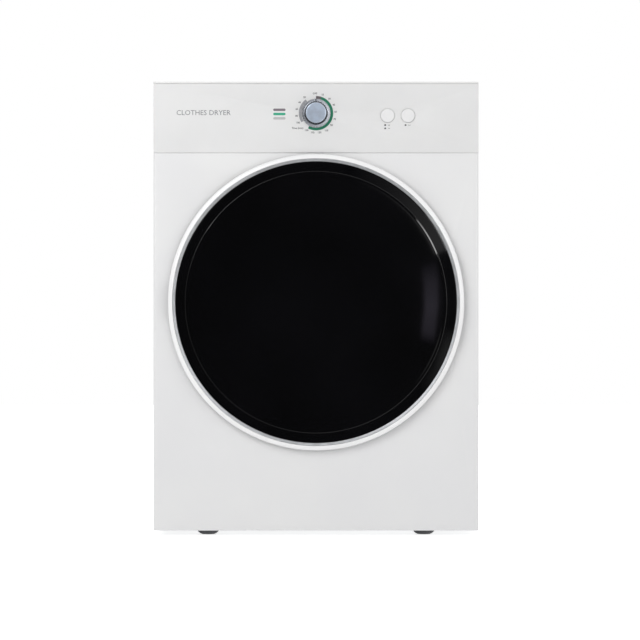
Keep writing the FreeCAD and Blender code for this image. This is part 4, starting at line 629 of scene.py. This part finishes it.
notch_inner = 2 - ledge_radius + 1.9
notch = block(bmesh.new(), (-door_radius - past_edge, front_y - notch_depth, door.z - notch_half),
              (notch_inner, front_y + past_edge, door.z + notch_half), 0.8)
settle("door ring", cut_with(bm, [grip, notch]), [white_ring], "door_ring")


# ------------------------------------ door trim ring
# A narrow ring pressed in between the window and the white ring, plated a satin silver.  Its face
# slopes in towards the window.
trim_low, trim_high = span("door_trim_ring")
trim_radius = (trim_high.x - trim_low.x) / 2
trim_inner = trim_radius - 4.4
trim_outer = trim_radius + 0.25
trim_metal = spun_metal("satin plated ring", ("b9bbbe", "c6c8cb"), door, (0.3, 0.4), 0.5, 0.003,
                        shine=0.7)
bm = spin(bmesh.new(), [
    (trim_inner, trim_high.y), (trim_inner, trim_low.y + 1.1, 0.4),
    (trim_radius - 2, trim_low.y + 0.5, 0.8), (trim_radius, trim_low.y, 0.2),
    (trim_outer, trim_low.y + 0.2), (trim_outer, trim_high.y)], door, count=256)
settle("door trim ring", bm, [trim_metal], "door_trim_ring")


# ------------------------------------ door window
# One acrylic moulding tinted almost black: a flat band round a shallow dome, polished, so that it
# mirrors the room.  It is too dark to see the glass dish behind it.
window_low, window_high = span("door_window")
window_radius = (window_high.x - window_low.x) / 2
band_radius = 239
smoked = finish("smoked acrylic", ("030304", "060608"), 200, (0.03, 0.05), grain=(90, 0.01),
                shader={"IOR": 1.49})


def dome(front, edge_y, edge, steps=40):
    """Points of a round cap from its middle to its edge."""
    rise = abs(edge_y - front)
    ball = (edge ** 2 + rise ** 2) / (2 * rise)
    side = 1 if edge_y > front else -1
    points = []
    for k in range(steps + 1):
        across = edge * k / steps
        points.append((across, front + side * (ball - math.sqrt(ball ** 2 - across ** 2))))
    return points


wall = 3
rim_front = trim_low.y + 1
foot = trim_low.y - 0.5
dome_edge = band_radius - 0.5
outer = dome(window_low.y, foot, dome_edge)
inner = dome(window_low.y + wall, foot + wall, dome_edge)
band_fall = (rim_front - foot - 0.5) / (window_radius - band_radius)


def on_band(across):
    """A point of the flat band; rows of them near its edges keep its shading flat."""
    return across, foot + 0.5 + (across - band_radius) * band_fall


bm = spin(bmesh.new(), outer + [
    (band_radius - 0.3, foot + 0.04), (band_radius, foot + 0.2), on_band(band_radius + 0.3),
    on_band(band_radius + 0.5), on_band(band_radius + 1.5), on_band(window_radius - 1.5),
    on_band(window_radius - 0.6), (window_radius - 0.2, rim_front + 0.15),
    (window_radius, rim_front + 0.6), (window_radius, window_high.y, 0.2)] + inner[::-1],
    door, count=256)
settle("door window", bm, [smoked], "door_window")


# ------------------------------------ inner frame of the door
# The mid grey moulding that faces the drum.  Its collar steers the laundry back and clamps the rim
# of the glass dish.  The moulding is satin, with a fine texture that hides scratches.
grey_plastic = finish("grey moulded polypropylene", ("8f9294", "989b9d"), 30, (0.45, 0.55),
                      grain=(0.5, 0.02), shader={"IOR": 1.49})
kept_shape("door_inner_frame", 0.5, grey_plastic)


# ------------------------------------ glass dish
# A pressed glass dish with a thick rounded rim, held by the inner frame's collar.  Clear glass with
# a slight green tint and the faint waviness of pressing.
glass = finish("pressed clear glass", ("eef6f3", "e6f1ee"), 80, (0.01, 0.03), grain=(30, 0.015),
               shader={"IOR": 1.52, "Transmission Weight": 0.9})
bowl_low, bowl_high = span("door_bowl")
bowl_radius = (bowl_high.x - bowl_low.x) / 2
bowl_wall = 4
bowl_inner = bowl_radius - bowl_wall
outside = dome(bowl_high.y, front_y, bowl_radius)
inside = dome(bowl_high.y - bowl_wall, front_y, bowl_inner)
bm = spin(bmesh.new(), outside + [(bowl_radius, bowl_low.y, 1.2), (bowl_inner, bowl_low.y, 1.2)]
          + inside[::-1], door, count=192)
settle("glass dish", bm, [glass], "door_bowl")


# ------------------------------------ door seal
# A black rubber lip with two rounded beads, pushed on to the inner frame; it meets the front panel
# when the door is shut.  The rubber is matt, with the bloom of moulding.
black_rubber = finish("matt black rubber", ("2a2b2c", "303132"), 12, (0.6, 0.75), grain=(0.5, 0.03),
                      shader={"IOR": 1.52})
seal_low, seal_high = span("door_seal")
seal_outer = (seal_high.x - seal_low.x) / 2
seal_inner = seal_outer - 10
bm = spin(bmesh.new(), [
    (seal_inner, seal_low.y, 0.6), (seal_outer, seal_low.y, 0.6), (seal_outer, seal_high.y, 2.2),
    (seal_outer - 4, seal_high.y, 1.2), (seal_outer - 5, seal_high.y - 1.6, 1),
    (seal_outer - 6, seal_high.y, 1.2), (seal_inner, seal_high.y, 2.2)], door, count=192)
settle("door seal", bm, [black_rubber], "door_seal")


# ------------------------------------ striker, catch and hinge
# Pressed and turned steel, zinc plated: the striker tongue, the hinge plate, arm and pin.  The
# catch behind the front panel is a grey moulding.  The zinc is bright but slightly clouded.
zinc = finish("zinc plated steel", ("a9abac", "b9babb"), 9, (0.28, 0.42), grain=(0.4, 0.006),
              shader={"Metallic": 1.0})
for node, ease in (("door_striker", 0.6), ("hinge_plate", 0.25), ("hinge_arm", 0.25), ("hinge_pin", 0.3)):
    kept_shape(node, ease, zinc)
kept_shape("door_catch", 0.6, grey_plastic)


# ------------------------------------ door screws
# Six pan head screws with a cross recess hold the inner frame to the ring.  Zinc plated.
def pan_head(radius, height, shank, length):
    """A screw along +Y with its head towards -Y and a cross pressed into it."""
    centre = Vector((0, 0, 0))
    screw = spin(bmesh.new(), [(0, length), (shank * 0.8, length), (shank, length - 1), (shank, 0),
                               (radius, 0, 0.2), (radius, -height * 0.55, 0.8), (radius * 0.5, -height, 1.2),
                               (0, -height)], centre, count=24)
    long = radius * 0.55
    short = radius * 0.14
    floor_y = -height * 0.45
    across = block(bmesh.new(), (-long, -height - 1, -short), (long, floor_y, short), 0)
    upright = block(bmesh.new(), (-short, -height - 1, -long), (short, floor_y, long), 0)
    return cut_with(screw, [across, upright])


def islands(node):
    """Lowest and highest corners of each separate solid of a plain node, in millimetres."""
    bm = bmesh.new()
    bm.from_mesh(frame["nodes"][node].data)
    bmesh.ops.remove_doubles(bm, verts=bm.verts, dist=1e-6)
    left = set(bm.verts)
    found = []
    while left:
        reached = {left.pop()}
        edge_of_reach = list(reached)
        while edge_of_reach:
            vert = edge_of_reach.pop()
            for edge in vert.link_edges:
                other = edge.other_vert(vert)
                if other in left:
                    left.remove(other)
                    reached.add(other)
                    edge_of_reach.append(other)
        corners = [Vector([pick(vert.co[k] for vert in reached) * 1000 for k in range(3)])
                   for pick in (min, max)]
        found.append(tuple(corners))
    bm.free()
    return sorted(found, key=lambda pair: (round(pair[0].x), round(pair[0].z)))


screw_head = 4
head_height = 1.6
screw_shank = 1.8
faced_back = (0, 0, math.pi)
solids = islands("door_screws")
screws = [(Vector(((low.x + high.x) / 2, high.y - head_height, (low.z + high.z) / 2)), faced_back)
          for low, high in solids]
shank_length = solids[0][1].y - solids[0][0].y - head_height
bm = pan_head(screw_head, head_height, screw_shank, shank_length)
repeated("door screws", bm, screws, zinc, "door_screws")


# ------------------------------------ drum shell
# A rolled stainless sheet with a turned front lip and two pressed beads, covered in rows of small
# pressed dimples.  The brushing runs round the drum.
steel = finish("brushed stainless steel", ("a8a9aa", "b6b7b8"), 30, (0.26, 0.38), grain=(1.2, 0.01),
               stretch=(0.25, 6, 0.25), shader={"Metallic": 1.0})
shell_low, shell_high = span("drum_shell")
drum = middle("drum_shell")
drum_radius = (shell_high.x - shell_low.x) / 2
lip = shell_low.y + 15
shell_wall = 1
shell_inner = drum_radius - shell_wall
lip_inner = 215
lip_outer = 216.5
bead = 1.1
beads_y = (shell_high.y - 120, lip + 120)
outline = [(drum_radius, lip, 2.5), (drum_radius, shell_high.y, 0.3), (shell_inner, shell_high.y, 0.3)]
for spot in beads_y:
    outline += [(shell_inner, spot + 9), (shell_inner - bead, spot + 4),
                (shell_inner - bead, spot - 4), (shell_inner, spot - 9)]
outline += [(shell_inner, lip + shell_wall, 2), (lip_inner, lip + shell_wall, 1),
            (lip_inner, shell_low.y, 0.3), (lip_outer, shell_low.y, 0.3), (lip_outer, lip, 1)]
settle("drum shell", spin(bmesh.new(), outline, drum, count=160), [steel], "drum_shell")

dimple_rows = 11
dimples_round = 66
dimple_margin = 34
bead_clear = 14
lifter_clear = 9
lifter_angles = (270, 30, 150)
dimple = spin(bmesh.new(), [(0, -0.9), (1.6, -0.7, 0.6), (3.2, 0.25), (0, 0.25)], Vector((0, 0, 0)),
              count=10, steps=2)
sideways = Matrix.Rotation(math.pi / 2, 3, "Z")
places = []
for row in range(dimple_rows):
    rows_depth = shell_high.y - lip - 2 * dimple_margin
    along = lip + dimple_margin + rows_depth * row / (dimple_rows - 1)
    if min(abs(along - spot) for spot in beads_y) < bead_clear:
        continue
    for k in range(dimples_round):
        degrees = (k + 0.5 * (row % 2)) * 360 / dimples_round
        if min(abs((degrees - angle + 180) % 360 - 180) for angle in lifter_angles) < lifter_clear:
            continue
        turn = math.radians(degrees)
        spot = (drum.x + shell_inner * math.cos(turn), along, drum.z + shell_inner * math.sin(turn))
        inwards = Matrix.Rotation(-turn, 3, "Y") @ sideways
        places.append((Vector(spot), tuple(inwards.to_euler())))
repeated("drum dimples", dimple, places, steel, body="drum")


# ------------------------------------ drum back, lifters and shaft
# The back is a stainless disc punched with three rings of air holes.  Three hollow grey lifters are
# screwed to the shell, and the turned shaft with its flange carries the drum.
kept_shape("drum_back", 0.15, steel, steps=1)
kept_shape("drum_lifters", 4, grey_plastic, steps=4, corner=30)
kept_shape("drum_shaft", 0.5, zinc)


# ------------------------------------ bulkheads, felts and glides
# Galvanised sheet that carries both ends of the drum, with the zinc's large crystals showing.  Felt
# closes the gap to the drum at each end and two white pads carry the collar.
galvanised = finish("galvanised sheet", ("989b9e", "b0b3b5"), 14, (0.34, 0.5), shader={"Metallic": 1.0})
tree = galvanised.node_tree
surface = next(node for node in tree.nodes if node.type == "BSDF_PRINCIPLED")
place = put(tree, "ShaderNodeTexCoord").outputs["Object"]
crystal_size = 13
crystals = put(tree, "ShaderNodeTexVoronoi",
               {"Vector": place, "Scale": 1000 / crystal_size}).outputs["Color"]
level = put(tree, "ShaderNodeRGBToBW", {0: crystals}).outputs[0]
facing = put(tree, "ShaderNodeMapRange", {"Value": level, "To Min": 0.92, "To Max": 1.05}).outputs[0]
base = surface.inputs["Base Color"]
tone = put(tree, "ShaderNodeMix", {0: 1.0, 6: base.links[0].from_socket, 7: facing},
           data_type="RGBA", blend_type="MULTIPLY").outputs[2]
tree.links.new(tone, base)
for node in ("front_bulkhead", "rear_bulkhead"):
    kept_shape(node, 0.25, galvanised)

# Pressed wool: quite matt, with short hairs that catch the light at the edge.
felt = finish("grey wool felt", ("8c8577", "9b9485"), 4, (0.9, 1.0), grain=(0.5, 0.25),
              shader={"Sheen Weight": 0.4, "Sheen Roughness": 0.5})
for node in ("front_felt_seal", "rear_felt_seal"):
    kept_shape(node, 0.8, felt)
# Waxy and slightly cream.
glide = finish("white glide plastic", ("d8d5c8", "dedbd0"), 6, (0.35, 0.45), grain=(0.5, 0.01),
               shader={"IOR": 1.35})
kept_shape("drum_glides", 0.4, glide)


# ------------------------------------ bearing, heater and thermostats
# A pressed steel housing holds a sintered bronze bush.  Behind the bulkhead the galvanised heater
# drum holds two rings of dark sheathed element on ceramic posts, watched by two thermostats.
# Pores in the bronze leave it brown and dull; heat leaves the element's sheath nearly black.
bronze = finish("sintered bronze", ("a9804a", "b98f57"), 1.5, (0.35, 0.5), grain=(0.3, 0.02),
                shader={"Metallic": 1.0})
element = finish("oxidised element sheath", ("3a3330", "4b433e"), 5, (0.5, 0.65), grain=(0.6, 0.02),
                 shader={"Metallic": 0.6})
kept_shape("bearing_housing", 0.5, zinc)
kept_shape("drum_bearing", 0.3, bronze)
kept_shape("heater_housing", 0.4, galvanised)
settle("heater element", copied("heater_element"), [element], "heater_element")
kept_shape("thermostats", 0.5, zinc)


# ------------------------------------ motor, belt and idler
# A black painted motor on a galvanised bracket.  Its shaft carries the belt pulley behind and the
# fan in front; a sprung arm presses the idler against the rubber belt.
# The paint is thick and half gloss; the nylon of the pulleys is duller, with glass fibre in it.
motor_paint = finish("black motor paint", ("232425", "2c2d2e"), 20, (0.35, 0.5), grain=(0.7, 0.02),
                     shader={"IOR": 1.5})
black_plastic = finish("black glass filled nylon", ("1f2021", "292a2b"), 6, (0.45, 0.6), grain=(0.4, 0.02),
                       shader={"IOR": 1.53})
kept_shape("motor_case", 1.2, motor_paint, steps=3)
kept_shape("motor_shaft", 0.4, zinc)
kept_shape("motor_bracket", 0.4, galvanised)
kept_shape("idler_arm", 0.3, zinc)
kept_shape("belt_pulley", 0.3, black_plastic)
kept_shape("idler_pulley", 0.5, black_plastic)
kept_shape("drum_belt", 0.3, black_rubber)


# ------------------------------------ fan
# A grey scroll housing round a black centrifugal wheel whose curved blades stand on a back disc.
kept_shape("fan_housing", 0.6, grey_plastic)
settle("fan wheel", eased(copied("fan_impeller"), 0.25, steps=1), [black_plastic], "fan_impeller")


# ------------------------------------ ducts and lint filter
# Grey mouldings: the duct down from the throat, the exhaust duct across to the back and the collar
# that takes the vent hose.  The filter is a pale frame with a fine screen.
for node, ease in (("lint_duct", 0.8), ("exhaust_duct", 0.6), ("vent_collar", 0.7)):
    kept_shape(node, ease, grey_plastic)
filter_plastic = finish("pale filter moulding", ("b9bcbf", "c3c6c9"), 8, (0.4, 0.5),
                        grain=(0.4, 0.01), shader={"IOR": 1.49})
kept_shape("lint_filter", 0.5, filter_plastic)


# ------------------------------------ rear panel and its screws
# A flat galvanised sheet with ten intake slots under pressed hoods, the vent opening and the gland.
# Pan head screws hold it to the folds of the sides.
kept_shape("rear_panel", 0.2, galvanised, steps=1)
rear_y = span("rear_panel")[1].y


def hood(half, height, depth, sheet, steps=8, root=-0.3, end_run=2, end_height=0.4):
    """A pressed louvre: a curved sheet that stands off the panel over its slot, closed at its ends."""
    section = []
    for thickness in (0, sheet):
        arc = []
        for k in range(steps + 1):
            turn = math.radians(90 * k / steps)
            arc.append((root + (depth - thickness) * math.sin(turn),
                        (height - thickness) * math.cos(turn)))
        section += arc if thickness == 0 else arc[::-1]
    bm = bmesh.new()
    rows = [[bm.verts.new((x, y, z)) for y, z in section]
            for x in (-half, -half + end_run, half - end_run, half)]
    for vert, (y, z) in zip(rows[0] + rows[3], section * 2):
        vert.co.y = min(y, end_height)
    for first, second in zip(rows, rows[1:]):
        for k in range(len(section)):
            after = (k + 1) % len(section)
            bm.faces.new((first[k], first[after], second[after], second[k]))
    bm.faces.new(rows[0])
    bm.faces.new(rows[3][::-1])
    return bm


slot_count = 10
slot_pitch = 14
slots = [(Vector((0, rear_y, drum.z + slot_pitch * (k - slot_count / 2))), (0, 0, 0))
         for k in range(slot_count)]
repeated("louvre hoods", hood(61, 6.2, 4.2, 0.8), slots, galvanised, body="cabinet")

cabinet_shank = 9
screws = [(Vector(((low.x + high.x) / 2, rear_y, (low.z + high.z) / 2)), faced_back)
          for low, high in islands("cabinet_screws")]
bm = pan_head(screw_head, head_height, screw_shank, cabinet_shank)
repeated("cabinet screws", bm, screws, zinc, "cabinet_screws")


# ------------------------------------ base tray
# A deep tray folded from galvanised sheet with a weld nut over each foot.  Its spangle is that of
# the bulkheads.
kept_shape("base_tray", 0.5, galvanised)


# ------------------------------------ feet
# Dark grey rubber cups on the ends of the levelling studs, with a rolled upper rim and grooves
# underneath that grip the floor.  The stud is out of sight and has the cup's matt finish too.
foot_rubber = finish("dark grey foot rubber", ("5a5b5d", "646568"), 7, (0.55, 0.68), grain=(0.5, 0.02),
                     shader={"IOR": 1.52})
foot_rim = 19.5
foot_top = 8.2
stud_radius = 4
for node in ("front_left_foot", "front_right_foot", "rear_left_foot", "rear_right_foot"):
    stud_top = span(node)[1].z
    bm = spin(bmesh.new(), [
        (0, 0.8), (5, 0.8, 0.4), (5.8, 0), (8, 0, 0.3), (8.6, 0.7, 0.3), (9.4, 0, 0.3), (11.5, 0, 1.2),
        (16.6, 2.4, 2.4), (foot_rim, foot_top - 2.2, 1.2), (foot_rim, foot_top, 0.9),
        (stud_radius, foot_top), (stud_radius, stud_top, 0.6), (0, stud_top)],
        middle(node), axis="Z", count=64)
    settle(node.replace("_", " "), bm, [foot_rubber], node)


# ------------------------------------ switches, gland and wiring
# The timer, the switch block, the terminals and the gland are grey mouldings.  Sleeved looms join
# them to the motor and the heater; the weave of the sleeve makes it dull and rough.
sleeve = finish("woven loom sleeve", ("222222", "2e2e2e"), 2, (0.6, 0.8), grain=(0.8, 0.2),
                shader={"IOR": 1.5})
for node in ("timer_unit", "switch_block", "terminal_block", "cable_gland"):
    kept_shape(node, 0.5, grey_plastic)
settle("wiring harness", copied("wiring_harness"), [sleeve], "wiring_harness")


# ------------------------------------ floor, light and camera
# A pale floor in an even white studio.  A large soft light stands high on the left and smaller
# ones behind the camera give the window its reflections.
floor_white = finish("pale studio floor", ("ffffff", "fbfbfb"), 900, (0.9, 1.0))
tree = floor_white.node_tree
path = put(tree, "ShaderNodeLightPath").outputs
surface = next(node for node in tree.nodes if node.type == "BSDF_PRINCIPLED")
shine = put(tree, "ShaderNodeMapRange",
            {"Value": path["Is Camera Ray"], "To Min": 0.1, "To Max": 0.74}).outputs[0]
surface.inputs["Emission Color"].default_value = (1, 1, 1, 1)
tree.links.new(shine, surface.inputs["Emission Strength"])
floor_radius = 9
bm = bmesh.new()
bmesh.ops.create_circle(bm, cap_ends=True, segments=96, radius=floor_radius * 1000)
mesh = bpy.data.meshes.new("floor")
bm.to_mesh(mesh)
bm.free()
floor = as_object("floor", mesh, [floor_white])
floor.location.z = -0.0005
floor.visible_glossy = False


def soft_light(name, place, target, side, power):
    """A square white soft box that faces its target; places in metres."""
    light = bpy.data.lights.new(name, "AREA")
    light.shape = "SQUARE"
    light.size = side
    light.energy = power
    box_light = bpy.data.objects.new(name, light)
    box_light.location = place
    box_light.rotation_euler = (Vector(target) - Vector(place)).to_track_quat("-Z", "Y").to_euler()
    bpy.context.collection.objects.link(box_light)


soft_light("key", (-1.9, -3.3, 2.3), (-0.15, -0.25, 0.45), 2.4, 47)
soft_light("fill", (3.4, -3.2, 1.6), (0, 0, 0.4), 2.4, 16)


def glow_card(name, wall_y, centre, outline, shade="ffffff", bands=6):
    """A sheet of light behind the camera that only mirrors show.  The outline is rows of (angle
    from the top, inner radius, outer radius, brightness) round a centre, in degrees and metres."""
    glow = bpy.data.materials.new(name)
    glow.use_nodes = True
    tree = glow.node_tree
    tree.nodes.clear()
    level = put(tree, "ShaderNodeAttribute", attribute_name="glow").outputs["Fac"]
    light = put(tree, "ShaderNodeEmission", {"Color": tint(shade), "Strength": level}).outputs[0]
    put(tree, "ShaderNodeOutputMaterial", {"Surface": light})
    points = []
    levels = []
    faces = []
    for angle, inner, outer, bright in outline:
        turn = math.radians(angle)
        for band in range(bands + 1):
            reach = inner + (outer - inner) * band / bands
            points.append((centre[0] + reach * math.sin(turn), wall_y,
                           centre[1] + reach * math.cos(turn)))
            levels.append(bright)
    for row in range(len(outline) - 1):
        for band in range(bands):
            first = row * (bands + 1) + band
            faces.append((first, first + 1, first + bands + 2, first + bands + 1))
    mesh = bpy.data.meshes.new(name)
    mesh.from_pydata(points, [], faces)
    mesh.attributes.new("glow", "FLOAT", "POINT").data.foreach_set("value", levels)
    mesh.materials.append(glow)
    card = bpy.data.objects.new(name, mesh)
    bpy.context.collection.objects.link(card)
    card.visible_camera = False
    card.visible_diffuse = False
    card.visible_transmission = False
    card.visible_shadow = False


behind = -8.25
axis = (door.x / 1000, door.z / 1000)
glow_card("upper window glow", behind, axis,
          [(12, 1.46, 1.9, 0), (30, 1.46, 1.9, 0.15), (45, 1.44, 1.9, 0.34), (60, 1.42, 1.9, 0.52),
           (66.5, 1.42, 1.9, 0.55)])
glow_card("lower window glow", behind, axis,
          [(100, 1.44, 1.9, 0.1), (108, 1.44, 1.9, 0.4), (118, 1.44, 1.9, 0.3), (131, 1.44, 1.9, 0)])
glow_card("window edge line", behind, axis,
          [(50, 2.2, 3.6, 4), (60, 2.2, 3.6, 9), (67, 2.2, 3.6, 9)])
glow_card("window strip", behind, axis,
          [(69, 1.22, 1.40, 0.1), (78, 1.20, 1.36, 0.5), (90, 1.18, 1.33, 0.7), (103, 1.18, 1.33, 0.5),
           (109, 1.2, 1.36, 0)], "e4dcf4")

world = bpy.data.worlds.new("studio")
bpy.context.scene.world = world
world.use_nodes = True
tree = world.node_tree
tree.nodes.clear()
path = put(tree, "ShaderNodeLightPath").outputs
ray = put(tree, "ShaderNodeTexCoord").outputs["Object"]
toward = put(tree, "ShaderNodeVectorMath", {0: ray, 1: (0, -1, 0)},
             operation="DOT_PRODUCT").outputs["Value"]
dark_wall = put(tree, "ShaderNodeMapRange", {"Value": toward, "From Min": math.cos(math.radians(34)),
                                             "From Max": math.cos(math.radians(15)), "To Min": 0.85,
                                             "To Max": 0.045}, interpolation_type="SMOOTHSTEP").outputs[0]
sideways = put(tree, "ShaderNodeSeparateXYZ", {0: ray}).outputs["X"]
share = put(tree, "ShaderNodeMapRange", {"Value": sideways, "From Min": -0.9, "From Max": 0.9, "To Min": 0.4,
                                         "To Max": 1.25}).outputs[0]
dark_wall = put(tree, "ShaderNodeMath", {0: dark_wall, 1: share}, operation="MULTIPLY").outputs[0]
white = (1, 1, 1, 1)
seen = put(tree, "ShaderNodeBackground", {"Color": white, "Strength": 1.0}).outputs[0]
mirrored = put(tree, "ShaderNodeBackground", {"Color": white, "Strength": dark_wall}).outputs[0]
spread = put(tree, "ShaderNodeBackground", {"Color": white, "Strength": 0.68}).outputs[0]
indirect = put(tree, "ShaderNodeMixShader", {0: path["Is Glossy Ray"], 1: spread, 2: mirrored}).outputs[0]
whole = put(tree, "ShaderNodeMixShader", {0: path["Is Camera Ray"], 1: indirect, 2: seen}).outputs[0]
put(tree, "ShaderNodeOutputWorld", {"Surface": whole})

camera = bpy.data.objects.new("camera", bpy.data.cameras.new("camera"))
bpy.context.collection.objects.link(camera)
camera.location = (0.0073, front_y / 1000 - 6, 0.394)
camera.rotation_euler = (math.radians(90), 0, 0)
camera.data.lens = 184.35
camera.data.sensor_width = 36
camera.data.clip_end = 50
bpy.context.scene.camera = camera
bpy.context.scene.view_settings.view_transform = "Standard"
